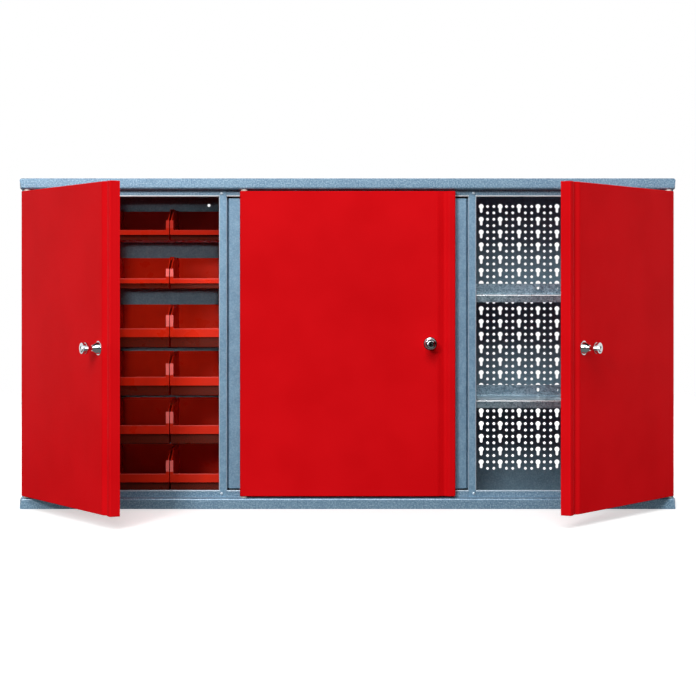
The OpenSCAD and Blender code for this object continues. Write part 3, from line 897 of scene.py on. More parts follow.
@dataclass
class EndPanel:
    """The top or bottom panel: a tray whose front flange turns back to a rolled lip.

    Attributes:
        bare: How strongly the rolled edge is painted pale as a highlight.
    """

    end: End
    end_radius: float
    bare: float
    corner_radius: float = 6 * MM
    edge_radius: float = 2.5 * MM
    return_radius: float = 4 * MM
    # Height of the band on the rolled edge that is painted pale as a highlight.
    rubbed: float = 2.6 * MM
    hole_reach: float = 3 * MM

    def tray(self) -> Piece:
        """Shape the tray with its rounded corners, open at the back and over its floor.

        Returns:
            The piece.
        """
        size = CARCASS
        half, front, back = size.width / 2, size.front_y, size.lip_y + size.sheet
        piece = Piece.block("tray", (-half, front, 0), (half, -front, size.flange))
        piece.round(lambda e: runs(e, 1) and near(middle(e).z, 0), self.end_radius, 5)
        piece.round(lambda e: runs(e, 2) and near(middle(e).y, front), self.corner_radius, 6)
        piece.cuts(1, [back])
        piece.remove_faces(lambda f: f.normal.y > 0.9)
        piece.remove_faces(lambda f: f.normal.z > 0.9 and f.calc_center_median().y > back - TINY)
        self.round_rim(piece, 0.0, self.edge_radius)
        self.round_rim(piece, size.flange, self.return_radius)
        piece.thicken(size.sheet)
        for x in size.pins:
            hole = Piece.rod(size.pin_bore, 0, 2 * self.hole_reach)
            piece.bore(hole.move(at(x, size.pin_y, size.flange - self.hole_reach)))
        return piece

    def round_rim(self, piece: Piece, height: float, radius: float) -> None:
        """Round the front edge of the flange at one height.

        Args:
            piece: The tray.
            height: Height of the edge.
            radius: Radius of the rounding.
        """
        limit = CARCASS.front_y + self.corner_radius - TINY

        def on_front(edge: Edge) -> bool:
            """Tell whether an edge lies on the flange's front or its corners."""
            level = all(near(v.co.z, height) for v in edge.verts)
            walls = [f for f in edge.link_faces if abs(f.normal.z) < 0.3]
            return level and bool(walls) and middle(edge).y < limit and not runs(edge, 1)

        piece.round(on_front, radius, 5)

    def lip(self) -> Piece:
        """Shape the recessed lip with its rolled edge.

        Returns:
            The piece.
        """
        size = CARCASS
        length = size.bay_end + size.sheet
        axis_z = size.lip_z - size.roll
        start = (-length, size.lip_y, size.flange)
        piece = Piece.folded("lip", start, (2 * length, 0, 0), [(0, 0, axis_z - size.flange)])
        piece.roll((0, size.lip_y + size.roll, axis_z), (1, 0, 0))
        piece.cuts(2, [size.lip_z - self.rubbed])
        return piece.tidy_sheet((0, -1, 0)).thicken(size.sheet)

    def build(self) -> None:
        """Build and dress the panel."""
        name = "top_panel" if self.end is End.HEAD else "bottom_panel"
        edge = CARCASS.lip_z - self.rubbed
        piece = self.tray().join(self.lip())
        # The rolled edge's front is painted pale as a highlight.
        piece.mark("rubbed", lambda f: self.bare if f.center.z > edge and f.normal.y < 0.5 else 0.0)
        piece.move(at_end(self.end)).smooth().dress(f"{name}_sheet", ENAMEL, "cabinet", name)


@dataclass
class Wall:
    """An upright wall that turns into a strip with a rolled edge beside an opening.

    Attributes:
        node: The node that it replaces.
        x: Where the wall's bay side is.
        way: The side that the strip turns to.
        low: Clearance of the wall at the foot.
        high: Clearance of the wall at the head.
        back_fold: Whether it has a rear fold for the back panel.
        bare: How strong the painted highlight is on the rolled edge and, less, on the fold.
    """

    node: str
    x: float
    way: Side
    low: float
    high: float
    back_fold: bool = False
    fold_radius: float = 1.6 * MM
    bare: tuple[float, float] = (0.5, 0.25)

    def build(self) -> None:
        """Build and dress the wall."""
        size = CARCASS
        foot, head = size.lip_z, size.height - size.lip_z
        folds = [(0, size.strip_y - size.back_y, 0), (size.strip + size.sheet - size.roll, 0, 0)]
        start = (-size.sheet, size.back_y, foot)
        if self.back_fold:
            folds = [(-size.strip, 0, 0)] + folds
            start = (size.strip - size.sheet, size.back_y, foot)
        piece = Piece.folded("wall", start, (0, 0, head - foot), folds)
        piece.roll((size.strip - size.roll, size.strip_y + size.roll, 0), (0, 0, -1))
        piece.tidy_sheet((-1, 0, 0), 0.9).round_folds(self.fold_radius).cuts(1, [size.wall_y])
        edge = size.strip - size.roll + TINY
        for level, room, way in ((foot, foot - self.low, -1), (head, foot - self.high, 1)):
            piece.pick_edges(
                lambda e: all(near(v.co.z, level) for v in e.verts) and middle(e).y > size.wall_y
            )
            piece.pull((0, 0, way * room))
            piece.pick_edges(
                lambda e: all(near(v.co.z, level) and v.co.y < size.wall_y - TINY for v in e.verts)
                and near(middle(e).y, size.strip_y)
                and middle(e).x < edge
            )
            piece.pull((0, 0, way * size.lip))
        # The rolled edge and the fold are painted pale as a highlight.
        piece.thicken(size.sheet).mark("rubbed", self.rubbed)
        piece.move(at(self.x, 0, 0) @ Matrix.Scale(self.way.value, 4, (1, 0, 0)))
        piece.smooth().dress(f"{self.node}_sheet", STRIP_ENAMEL, "cabinet", self.node)

    def rubbed(self, face: Polygon) -> float:
        """Return how much painted highlight a face takes: the strip's rolled edge and, less, its fold.

        Args:
            face: The face.

        Returns:
            A number from 0 to 1.
        """
        size, spot = CARCASS, face.center
        if spot.y > size.strip_y + 2 * size.roll or face.normal.y > 0.5:
            return 0.0
        if spot.x > size.strip - size.roll - TINY:
            return self.bare[0]
        return self.bare[1] if spot.x < self.fold_radius - size.sheet and face.normal.x < -0.1 else 0.0


@dataclass
class PostCover:
    """The hat-shaped strip that closes a post."""

    side: Side
    width: float = 40 * MM
    recess: float = 2 * MM
    side_depth: float = 10 * MM
    gap: float = 3 * MM
    fold_radius: float = 1.8 * MM

    def build(self) -> None:
        """Build and dress the cover."""
        size = CARCASS
        foot = size.lip_z + self.gap
        seat = size.wall_offset - size.sheet
        wing = seat - self.width / 2
        depth = self.side_depth - size.sheet
        start = (-seat, size.strip_y + self.recess + depth, foot)
        folds = [(wing, 0, 0), (0, -depth, 0), (self.width, 0, 0), (0, depth, 0), (wing, 0, 0)]
        piece = Piece.folded("cover", start, (0, 0, size.height - 2 * foot), folds)
        piece.tidy_sheet((0, -1, 0)).round_folds(self.fold_radius).thicken(size.sheet)
        piece.move(at(self.side.value * size.post_x, 0, 0))
        node = f"post_cover_{self.side.name.lower()}"
        piece.smooth().dress(f"{node}_sheet", STRIP_ENAMEL, "cabinet", node)


@dataclass
class FrameScrews:
    """The pan-head screws that hold the strips to the lips."""

    head: float = 3 * MM
    proud: float = 1.4 * MM
    shank: float = 1.5 * MM
    shank_length: float = 3 * MM
    inset: float = 4.75 * MM
    rise: float = 6 * MM
    slot: tuple[float, float, float] = (3.6 * MM, 0.9 * MM, 0.9 * MM)
    profile: Rings = ((1, 0), (0.97, 0.35), (0.85, 0.7), (0.6, 0.93), (0.25, 1))

    def screw(self) -> Piece:
        """Shape one screw, head up.

        Returns:
            The piece.
        """
        rings = [(self.shank, -self.shank_length), (self.shank, 0)]
        piece = Piece.turned("screw", rings + scaled(self.profile, self.head, self.proud), 20).tidy()
        half = Vector(self.slot) / 2
        for turn in (0, 90):
            bar = Piece.block("bar", -half, half)
            piece.bore(bar.move(at(0, 0, self.proud) @ Matrix.Rotation(math.radians(turn), 4, "Z")))
        return piece

    def build(self) -> None:
        """Build and dress all eight screws as one piece."""
        size = CARCASS
        model = self.screw()
        edge = size.wall_offset + size.strip - self.inset
        level = size.flange + self.rise
        places = [
            at_end(end) @ at(side.value * size.post_x + way * edge, size.strip_y, level) @ LEAN
            for end in End
            for side in Side
            for way in (-1, 1)
        ]
        copies = [model.copy("frame_screw", place) for place in places]
        model.drop()
        whole = copies[0].join(*copies[1:])
        whole.smooth().dress("frame_screw_heads", ZINC, "cabinet", "frame_screws")


@dataclass
class HingePins:
    """Two rivet-headed pins of one door, through the flange returns."""

    name: str
    x: float
    radius: float = 3 * MM
    reach: float = 10 * MM
    tip: float = 0.8 * MM
    head: float = 5 * MM
    head_height: float = 2 * MM
    profile: Rings = ((0.45, -1), (0.8, -0.8), (1, -0.35), (1, 0))

    def build(self) -> None:
        """Build and dress both pins as one piece."""
        size = CARCASS
        seat, end_z = size.flange - size.sheet, size.flange + self.reach
        rings = scaled(self.profile, self.head, self.head_height, seat)
        rings += [(self.radius, seat), (self.radius, end_z - self.tip), (self.radius - self.tip, end_z)]
        place = at(self.x, size.pin_y, 0)
        foot, head = (Piece.turned("pin", rings, 32).tidy().move(at_end(end) @ place) for end in End)
        node = f"hinge_pins_{self.name}"
        foot.join(head).smooth().dress(f"hinge_pin_{self.name}", ZINC, "cabinet", node)


@dataclass
class HingeWashers:
    """The washers that the doors turn on."""

    radius: float = 6 * MM
    height: float = 2.7 * MM
    edge: float = 0.5 * MM

    def build(self) -> None:
        """Build and dress every washer as one piece."""
        size = CARCASS
        foot, head = size.flange, size.flange + self.height
        flat = self.radius - self.edge
        rings = [(flat, foot), (self.radius, foot + self.edge), (self.radius, head - self.edge), (flat, head)]
        washers = []
        for x in size.pins:
            for end in End:
                washer = Piece.turned("washer", rings, 32).tidy()
                washer.bore(Piece.rod(size.pin_bore, foot - MM, foot + 4 * MM))
                washers.append(washer.move(at_end(end) @ at(x, size.pin_y, 0)))
        whole = washers[0].join(*washers[1:])
        whole.smooth().dress("hinge_washer_set", WASHER, "cabinet", "hinge_washers")


# ---------------------------------------------------------------- shelves and rails


@dataclass
class Shelf:
    """A galvanised shelf with a lip in front and a flange at the back."""

    node: str
    level: float
    front: float = -60 * MM
    lip: float = 14 * MM
    rear: float = 21 * MM
    end_gap: float = 0.5 * MM
    hole: float = 4.5 * MM
    hole_reach: float = 4 * MM
    hole_pitch: float = 42 * MM
    fold_radius: float = 1.8 * MM
    notch_gap: tuple[float, float] = (0.3 * MM, 2 * MM)

    def build(self) -> None:
        """Build and dress the shelf."""
        size = CARCASS
        start = size.bay_start + self.end_gap
        length = size.bay_end - self.end_gap - start
        rear_y = size.back_y - size.sheet
        folds = [(0, 0, self.lip), (0, rear_y - self.front, 0), (0, 0, self.rear)]
        piece = Piece.folded("shelf", (start, self.front, self.level - self.lip), (length, 0, 0), folds)
        piece.tidy_sheet((0, 0, 1)).round_folds(self.fold_radius).thicken(size.sheet)
        centre = (size.bay_start + size.bay_end) / 2
        for place in (-1, 0, 1):
            rod = Piece.rod(self.hole, -self.hole_reach, self.hole_reach, 40)
            x = centre + place * self.hole_pitch
            piece.bore(rod.move(at(x, size.back_y, self.level + self.rear / 2) @ LEAN))
        behind, below = self.notch_gap
        low = (size.bay_end - size.strip - self.end_gap, rear_y - behind, self.level - below)
        high = (size.bay_end + MM, size.back_y + MM, self.level + self.rear + MM)
        piece.bore(Piece.block("notch", low, high))
        # The front fold is painted pale as a highlight.
        front, top = self.front + self.fold_radius, self.level - 2 * self.fold_radius
        piece.mark("rubbed", lambda f: float(f.center.y < front and f.center.z > top and f.normal.z > 0.1))
        piece.smooth().dress(f"{self.node}_sheet", GALVANISED, "cabinet", self.node)


@dataclass
class BinRail:
    """A channel, open to the front, that a row of bins hangs on."""

    row: int
    top: float
    depth: float = 10 * MM
    height: float = 10 * MM
    end_gap: float = 0.5 * MM
    fold_radius: float = 1.3 * MM

    def build(self) -> None:
        """Build and dress the rail."""
        size = CARCASS
        left = -size.bay_end + size.strip + self.end_gap
        length = -size.bay_start - self.end_gap - left
        start = (left, size.back_y - self.depth, self.top - self.height)
        folds = [(0, self.depth, 0), (0, 0, self.height), (0, -self.depth, 0)]
        piece = Piece.folded("rail", start, (length, 0, 0), folds)
        piece.tidy_sheet((0, 1, 0)).round_folds(self.fold_radius, 3).thicken(size.sheet)
        node = f"bin_rail_{self.row}"
        piece.smooth().dress(f"{node}_sheet", ENAMEL, "cabinet", node)


# ---------------------------------------------------------------- doors and locks


@dataclass(frozen=True)
class DoorPlace:
    """Where a door's hinge pin stands and how the door is turned at rest."""

    name: str
    pin_x: float
    turn: float = 0
    mirrored: bool = False

    def matrix(self) -> Matrix:
        """Return the matrix from the closed door's own frame to the cabinet."""
        place = at(self.pin_x, CARCASS.pin_y, 0) @ Matrix.Rotation(math.radians(self.turn), 4, "Z")
        return Matrix.Scale(-1, 4, (1, 0, 0)) @ place if self.mirrored else place


@dataclass
class Door:
    """A folded door pan with a pressed bead beside its free edge.

    Attributes:
        place: Where the door hangs.
        bead: Distances of the bead's lines from the free edge.
        returns: Width of the folded returns behind the front.
    """

    place: DoorPlace
    width: float = 391 * MM
    foot: float = 23 * MM
    height: float = 554 * MM
    pin_inset: float = 7 * MM
    face: float = -9 * MM
    back: float = 9 * MM
    sheet: float = 1 * MM
    hinge_radius: float = 4 * MM
    free_radius: float = 1.5 * MM
    end_radius: float = 1.3 * MM
    bead: tuple[float, float, float] = (32 * MM, 19 * MM, 12 * MM)
    bead_depth: float = 5 * MM
    bead_radius: float = 2.4 * MM
    returns: float = 10 * MM
    lock_inset: float = 45.5 * MM
    lock_bore: float = 8.05 * MM
    bore_reach: float = 3 * MM

    @property
    def free(self) -> float:
        """X of the free edge from the pin."""
        return self.width - self.pin_inset

    @property
    def head(self) -> float:
        """Height of the door's upper edge."""
        return self.foot + self.height

    def on_front_rim(self, edge: Edge) -> bool:
        """Tell whether an edge is on the front's upper or lower rim."""
        level = any(all(near(v.co.z, end) for v in edge.verts) for end in (self.foot, self.head))
        walls = [f for f in edge.link_faces if abs(f.normal.z) < 0.3]
        return level and bool(walls) and all(f.normal.y < 0.9 for f in walls)

    def pan(self) -> Piece:
        """Shape the closed door in its own frame.

        Returns:
            The piece.
        """
        low, high = (-self.pin_inset, self.face, self.foot), (self.free, self.back, self.head)
        piece = Piece.block("pan", low, high)
        lines = [self.free - inset for inset in self.bead]

        def upright(edge: Edge, *places: float) -> bool:
            """Tell whether an edge stands upright at one of several X places."""
            return runs(edge, 2) and any(near(middle(edge).x, x) for x in places)

        piece.cuts(0, lines)
        piece.pick_edges(lambda e: upright(e, lines[1]) and near(middle(e).y, self.face))
        bpy.ops.transform.translate(value=(0, self.bead_depth, 0))
        piece.round(lambda e: upright(e, *lines) and middle(e).y < self.back - TINY, self.bead_radius, 4)
        piece.round(lambda e: upright(e, -self.pin_inset), self.hinge_radius, 6)
        piece.round(lambda e: upright(e, self.free) and near(middle(e).y, self.face), self.free_radius)
        piece.round(self.on_front_rim, self.end_radius)
        self.open_back(piece)
        piece.thicken(self.sheet)
        self.bore_holes(piece)
        return piece

    def open_back(self, piece: Piece) -> None:
        """Open the back inside its returns.

        Args:
            piece: The door's pan.
        """
        left, right = self.returns - self.pin_inset, self.free - self.returns
        low, high = self.foot + self.returns, self.head - self.returns
        for axis, place in ((0, left), (0, right), (2, low), (2, high)):
            piece.pick_faces(lambda f: f.normal.y > 0.99)
            bisect(axis, place)

        def inside(face: Face) -> bool:
            """Tell whether a back face lies in the opening."""
            spot = face.calc_center_median()
            return face.normal.y > 0.99 and left < spot.x < right and low < spot.z < high

        piece.remove_faces(inside)

    def bore_holes(self, piece: Piece) -> None:
        """Bore the pin holes and the lock hole.

        Args:
            piece: The door's pan.
        """
        reach = self.bore_reach
        for level in (self.foot, self.head):
            piece.bore(Piece.rod(CARCASS.pin_bore, level - reach, level + reach))
        spot = at(self.free - self.lock_inset, self.face, CARCASS.height / 2)
        piece.bore(Piece.rod(self.lock_bore, -reach, reach, 40).move(spot @ LEAN))

    def build(self) -> None:
        """Build and dress the door and its lock."""
        name = f"door_{self.place.name}"
        self.pan().move(self.place.matrix()).smooth().dress(f"{name}_pan", RED, name, name)
        Lock(self.place, self.free - self.lock_inset, self.face).build()


@dataclass
class Lock:
    """A cylinder lock with its flared rosette, turning knob, nut and cam.

    Attributes:
        place: Where the door hangs.
        x: The lock's place on the door.
        face: Y of the door's front.
        keyway: Width and length of the slot, and radius of its round part.
        flare: The rosette's outline, in shares of its radius and height.
        screw: The cam screw's head, as radius and height in millimetres.
    """

    place: DoorPlace
    x: float
    face: float
    sleeve: float = 8 * MM
    sleeve_end: float = -23 * MM
    rosette: float = 12 * MM
    rosette_height: float = 12 * MM
    neck: float = 3.8 * MM
    stub: float = 3 * MM
    bore: float = 3.85 * MM
    knob: float = 9.5 * MM
    knob_start: float = 20.5 * MM
    knob_end: float = 31 * MM
    boss: float = 7 * MM
    boss_height: float = 1.2 * MM
    plug: float = 5 * MM
    keyway: tuple[float, float, float] = (1.6 * MM, 8 * MM, 2.2 * MM)
    nut_flats: float = 22 * MM
    nut_height: float = 4.5 * MM
    nut_trim: float = 1 * MM
    nut_play: float = 0.05 * MM
    cam_front: float = 24 * MM
    cam_thickness: float = 2.4 * MM
    cam_length: float = 20 * MM
    cam_width: float = 12 * MM
    hub: float = 8 * MM
    slit: tuple[float, float, float] = (5 * MM, 0.5 * MM, 1.6 * MM)
    flare: Rings = (
        (1, 0), (1, 0.06), (0.985, 0.08), (0.86, 0.08), (0.83, 0.17), (0.78, 0.34),
        (0.71, 0.48), (0.62, 0.6), (0.535, 0.75), (0.455, 0.9), (0.43, 0.97), (0.4, 1),
    )
    screw: Rings = ((4.5, 0), (4.5, -1), (3.9, -2), (2.6, -2.6))

    def matrix(self) -> Matrix:
        """Return the matrix from the lock's axis to the cabinet."""
        return self.place.matrix() @ at(self.x, self.face, CARCASS.height / 2) @ LEAN

    def body(self) -> Piece:
        """Turn the rosette and its sleeve.

        Returns:
            The piece.
        """
        rings = stepped(self.sleeve, self.sleeve_end, (-0.4, 0), (0, 0.4)) + [(self.sleeve, 0)]
        rings += scaled(self.flare, self.rosette, self.rosette_height)
        piece = Piece.turned("rosette", rings, 64).tidy()
        return piece.bore(Piece.rod(self.bore, self.sleeve_end - MM, self.rosette_height + MM, 48))

    def nut(self) -> Piece:
        """Shape the six-sided nut with its trimmed corners.

        Returns:
            The piece.
        """
        outer = self.nut_flats / 2 / math.cos(math.radians(30))
        seat = -CARCASS.sheet
        foot = seat - self.nut_height
        piece = Piece.turned("nut", [(outer, foot), (outer, seat)], 6).tidy()
        piece.move(Matrix.Rotation(math.radians(90), 4, "Z"))
        trim = self.nut_trim
        wide = outer + 2 * trim
        cone = [(outer - trim, foot - TINY), (wide, foot + trim * 1.6), (wide, seat + MM)]
        piece.combine("INTERSECT", Piece.turned("cone", cone, 48).tidy())
        return piece.bore(Piece.rod(self.sleeve + self.nut_play, foot - MM, seat + MM, 48))

    def turning_knob(self) -> Piece:
        """Turn the knob with its neck, spindle, ringed plug and keyway.

        Returns:
            The piece.
        """
        wide, neck, stub = self.knob, self.neck, self.stub
        start, end = self.knob_start, self.knob_end
        foot, top = -self.cam_front, end + self.boss_height
        groove = ((0, -1.1), (-0.25, -0.75), (-0.9, -0.45), (-0.9, 0.45), (-0.25, 0.75), (0, 1.1))
        rings = [
            *[(stub, foot - self.cam_thickness), (stub, foot), (neck, foot), (neck, 12.5 * MM)],
            *[(0.94 * neck, 13.5 * MM), (0.94 * neck, start - 3 * MM)],
            *[(1.15 * neck, start - 1.2 * MM), (1.5 * neck, start - 0.3 * MM)],
            *stepped(wide, start, (-1.6, 0), (-0.5, 0.5), (0, 1.4)),
            *stepped(wide, (start + end) / 2, *groove),
            *stepped(wide, end, (0, -0.6), (-0.2, -0.15), (-0.6, 0)),
            *stepped(self.boss, end, (0, 0), (-0.3, 0.3)),
            *stepped(self.plug, top, (0.3, -0.1), (0, 0)),
        ]
        piece = Piece.turned("knob", rings, 64).tidy()
        width, length, round_part = self.keyway
        foot, top = end - length, top + MM
        slot = Piece.block("slot", (-width / 2, -length / 2, foot), (width / 2, length / 2, top))
        well = Piece.rod(round_part, foot, top)
        return piece.bore(slot).bore(well.move(at(0, length / 6, 0)))

    def cam(self) -> Piece:
        """Shape the cam plate and its screw.

        Returns:
            The piece.
        """
        foot, top = -self.cam_front - self.cam_thickness, -self.cam_front
        half = self.cam_width / 2
        tip_y = half - self.cam_length
        hub = Piece.turned("hub", [(self.hub, foot), (self.hub, top)], 48).tidy()
        hub.combine("UNION", Piece.rod(half, foot, top, 48).move(at(0, tip_y, 0)))
        hub.combine("UNION", Piece.block("arm", (-half, tip_y, foot), (half, 0, top)))
        hub.soften(0.4 * MM, 50)
        head = Piece.turned("head", stepped(0, foot, *self.screw), 32).tidy()
        length, width, depth = self.slit
        low, high = (-length, -width, foot - 3 * MM), (length, width, foot - depth)
        return hub.join(head.bore(Piece.block("slot", low, high)))

    def build(self) -> None:
        """Build and dress the lock's four pieces."""
        name = self.place.name
        door, turning = f"door_{name}", f"lock_{name}"
        parts = (
            (self.body(), "lock_rosette", CHROME, door, "lock_body"),
            (self.nut(), "lock_fixing_nut", ZINC, door, "lock_nut"),
            (self.turning_knob(), "lock_turning_knob", CHROME, turning, "lock_knob"),
            (self.cam(), "lock_cam_plate", ZINC, turning, "lock_cam"),
        )
        for piece, title, finish, body, node in parts:
            piece.move(self.matrix()).smooth(30)
            piece.dress(f"{title}_{name}", finish, body, f"{node}_{name}")


# ---------------------------------------------------------------- bins


@dataclass(frozen=True)
class BinForm:
    """Sizes of one kind of bin.

    Attributes:
        front: Height of the recessed label area under the lip.
        post: Height of the tabs above the lip.
        unworn: Height above the lip where the tabs' pale colour starts.
        slope: Y where the sloping sides reach full height.
        proud: How far the lip's ends and the rim stand out.
    """

    height: float
    front: float
    lip: float
    post: float
    width: float = 104 * MM
    length: float = 153 * MM
    wall: float = 1.8 * MM
    recess: float = 6 * MM
    tab: float = 6 * MM
    tab_depth: float = 3 * MM
    unworn: float = 3.5 * MM
    # Share of pale colour painted on the lip's and rim's edges as a highlight.
    edge_wear: float = 0.3
    lip_line: float = 1.6 * MM
    slope: float = 52 * MM
    rim: float = 6 * MM
    proud: float = 1.2 * MM
    corner_radius: float = 4 * MM
    foot_radius: float = 2 * MM
    edge_radius: float = 0.55 * MM
    tongue_radius: float = 0.6 * MM
    rail_gap: float = 0.5 * MM
    tongue: float = 8.4 * MM
    tongue_height: float = 7.4 * MM
    tongue_top: float = 4.3 * MM
    tongue_inset: float = 10 * MM

    @property
    def lip_z(self) -> float:
        """Height of the lip's top."""
        return self.front + self.lip

    @property
    def post_z(self) -> float:
        """Height of the tabs' top."""
        return self.lip_z + self.post

    def shell(self) -> Piece:
        """Shape the thin-walled bin without its tongue.

        Returns:
            The piece.
        """
        half, rear = self.width / 2 - self.proud, self.length - self.proud
        rim_z, lip_z, post_z, tab_y = self.height - self.rim, self.lip_z, self.post_z, self.tab_depth
        piece = Piece.block("bin", (-half, self.recess, 0), (half, rear, self.height))
        piece.round(lambda e: runs(e, 2) and near(middle(e).y, rear), self.corner_radius, 4)
        piece.round(lambda e: all(near(v.co.z, 0) for v in e.verts), self.foot_radius)
        piece.cuts(2, [self.front, lip_z - self.lip_line, lip_z, lip_z + self.unworn, post_z, rim_z])
        piece.pick_faces(
            lambda f: f.normal.y < -0.99 and self.front < f.calc_center_median().z < post_z
        )
        piece.pull((0, -self.recess, 0))
        self.spread_rim(piece, half, rear, rim_z)
        edge = self.width / 2 - self.tab
        piece.cuts(0, [-edge, edge]).cuts(1, [tab_y])
        piece.pick_faces(lambda f: f.calc_center_median().y > tab_y)
        slant = (0, post_z - self.height, self.slope - tab_y)
        bpy.ops.mesh.bisect(plane_co=(0, tab_y, post_z), plane_no=slant, clear_outer=True, threshold=TINY)
        piece.remove_faces(lambda f: self.open_face(f, edge))
        for side in Side:

            def on_tab(face: Face) -> bool:
                """Tell whether a face is the outer side of the lip and tab."""
                spot = face.calc_center_median()
                return face.normal.x * side.value > 0.99 and spot.y < tab_y and spot.z > self.front

            piece.pick_faces(on_tab)
            piece.pull((side.value * self.proud, 0, 0))
        return piece

    def open_face(self, face: Face, edge: float) -> bool:
        """Tell whether a face closes the top or the front opening.

        Args:
            face: The face.
            edge: Inner X of the tabs.

        Returns:
            Whether the face has to go.
        """
        spot = face.calc_center_median()
        if face.normal.z > 0.9:
            high = spot.z > self.height - TINY
            return high or (near(spot.z, self.post_z) and (abs(spot.x) < edge or spot.y > self.tab_depth))
        return face.normal.y < -0.99 and spot.z > self.lip_z and (abs(spot.x) < edge or spot.y > TINY)

    def spread_rim(self, piece: Piece, half: float, rear: float, rim_z: float) -> None:
        """Step the walls outwards along the rim.

        Args:
            piece: The bin as a closed block.
            half: Half of the width between the walls' outer faces.
            rear: Y of the rear wall's outer face.
            rim_z: Height where the rim starts.
        """

        def in_rim(face: Face) -> bool:
            """Tell whether a face is one of the rim's outer faces."""
            spot = face.calc_center_median()
            return abs(face.normal.z) < 0.1 and spot.z > rim_z and spot.y > self.slope

        piece.cuts(1, [self.slope]).pick_faces(in_rim)
        bpy.ops.mesh.extrude_region_move()
        wide = (half + self.proud) / half
        long = (rear + self.proud - self.slope) / (rear - self.slope)
        bpy.ops.transform.resize(value=(wide, long, 1), center_override=(0, self.slope, 0))
        top = self.height - TINY
        piece.remove_faces(lambda f: f.normal.z > 0.9 and f.calc_center_median().z > top)

    def worn(self, face: Polygon) -> float:
        """Return how pale a face is: the tabs most, then the rounded edges of lip and rim, which take a painted
        highlight.

        Args:
            face: The face.

        Returns:
            A number from 0 to 1.
        """
        edge = self.width / 2 - self.tab - TINY
        start = self.lip_z + self.unworn - 0.5 * MM
        spot, normal = face.center, face.normal
        if normal.y < -0.6 and abs(spot.x) > edge and spot.z > start and spot.y < self.tab_depth:
            return 1.0
        # The lip's top edge and the rear rim are painted paler as a highlight.
        on_lip = spot.y < self.tab_depth and normal.y < -0.2 and abs(spot.x) < edge
        on_lip = on_lip and self.lip_z - self.lip_line < spot.z < self.lip_z + MM
        on_rim = spot.z > self.height - MM and spot.y > self.length - 4 * MM and normal.z > 0.2
        return self.edge_wear if on_lip or on_rim else 0.0

    def field(self, face: Polygon) -> float:
        """Return 1 on the recessed front under the lip, which is painted darker as shade."""
        spot = face.center
        return float(face.normal.y < -0.2 and spot.z < self.front and spot.y < self.recess + 2 * MM)

    def model(self) -> Piece:
        """Shape one whole bin.

        Returns:
            The piece.
        """
        piece = self.shell()
        piece.tidy_sheet((0, 0, -1), 0.9).thicken(self.wall).soften(self.edge_radius)
        half, high = self.width / 2 - self.tongue_inset, self.height - self.tongue_top
        low = (-half, self.length - self.wall, high - self.tongue_height)
        tongue = Piece.block("tongue", low, (half, self.length + self.rail_gap + self.tongue, high))
        tongue.soften(self.tongue_radius)
        return piece.mark("wear", self.worn).mark("field", self.field).join(tongue)


LOW_BIN = BinForm(59 * MM, 10 * MM, 9 * MM, 17.5 * MM)
TALL_BIN = BinForm(78 * MM, 19 * MM, 16 * MM, 24.5 * MM)


@dataclass
class BinRack:
    """Six rows of three bins, hung on their rails."""

    rows: int = 6
    columns: int = 3
    low_rows: int = 2
    first_top: float = 547.5 * MM
    pitch: float = 88.7 * MM
    lip_y: float = -64.5 * MM
    gap: float = 1.5 * MM
    post_gap: float = 0.75 * MM
    rail_drop: float = 3 * MM
    # Row 1 lies in the top panel's shade, so its pale marks are painted darker.
    first_row_wear: float = 0.12

    def build(self) -> None:
        """Build and dress every rail and bin."""
        models = {form: form.model() for form in (LOW_BIN, TALL_BIN)}
        for row in range(1, self.rows + 1):
            form = LOW_BIN if row <= self.low_rows else TALL_BIN
            top = self.first_top - (row - 1) * self.pitch
            BinRail(row, top - self.rail_drop).build()
            for column in range(1, self.columns + 1):
                step = form.width + self.gap
                x = -CARCASS.bay_start - self.post_gap - form.width / 2 - (column - 1) * step
                node = f"bin_{row}_{column}"
                body = "cabinet" if column == 1 else node
                piece = models[form].copy("bin", at(x, self.lip_y, top - form.height))
                # Row 1's pale tabs and edge highlights are faded as painted shade.
                if row == 1:
                    piece.fade("wear", self.first_row_wear)
                piece.smooth(30).dress(f"{node}_moulding", PLASTIC, body, node)
        for model in models.values():
            model.drop()


# ---------------------------------------------------------------- the stage


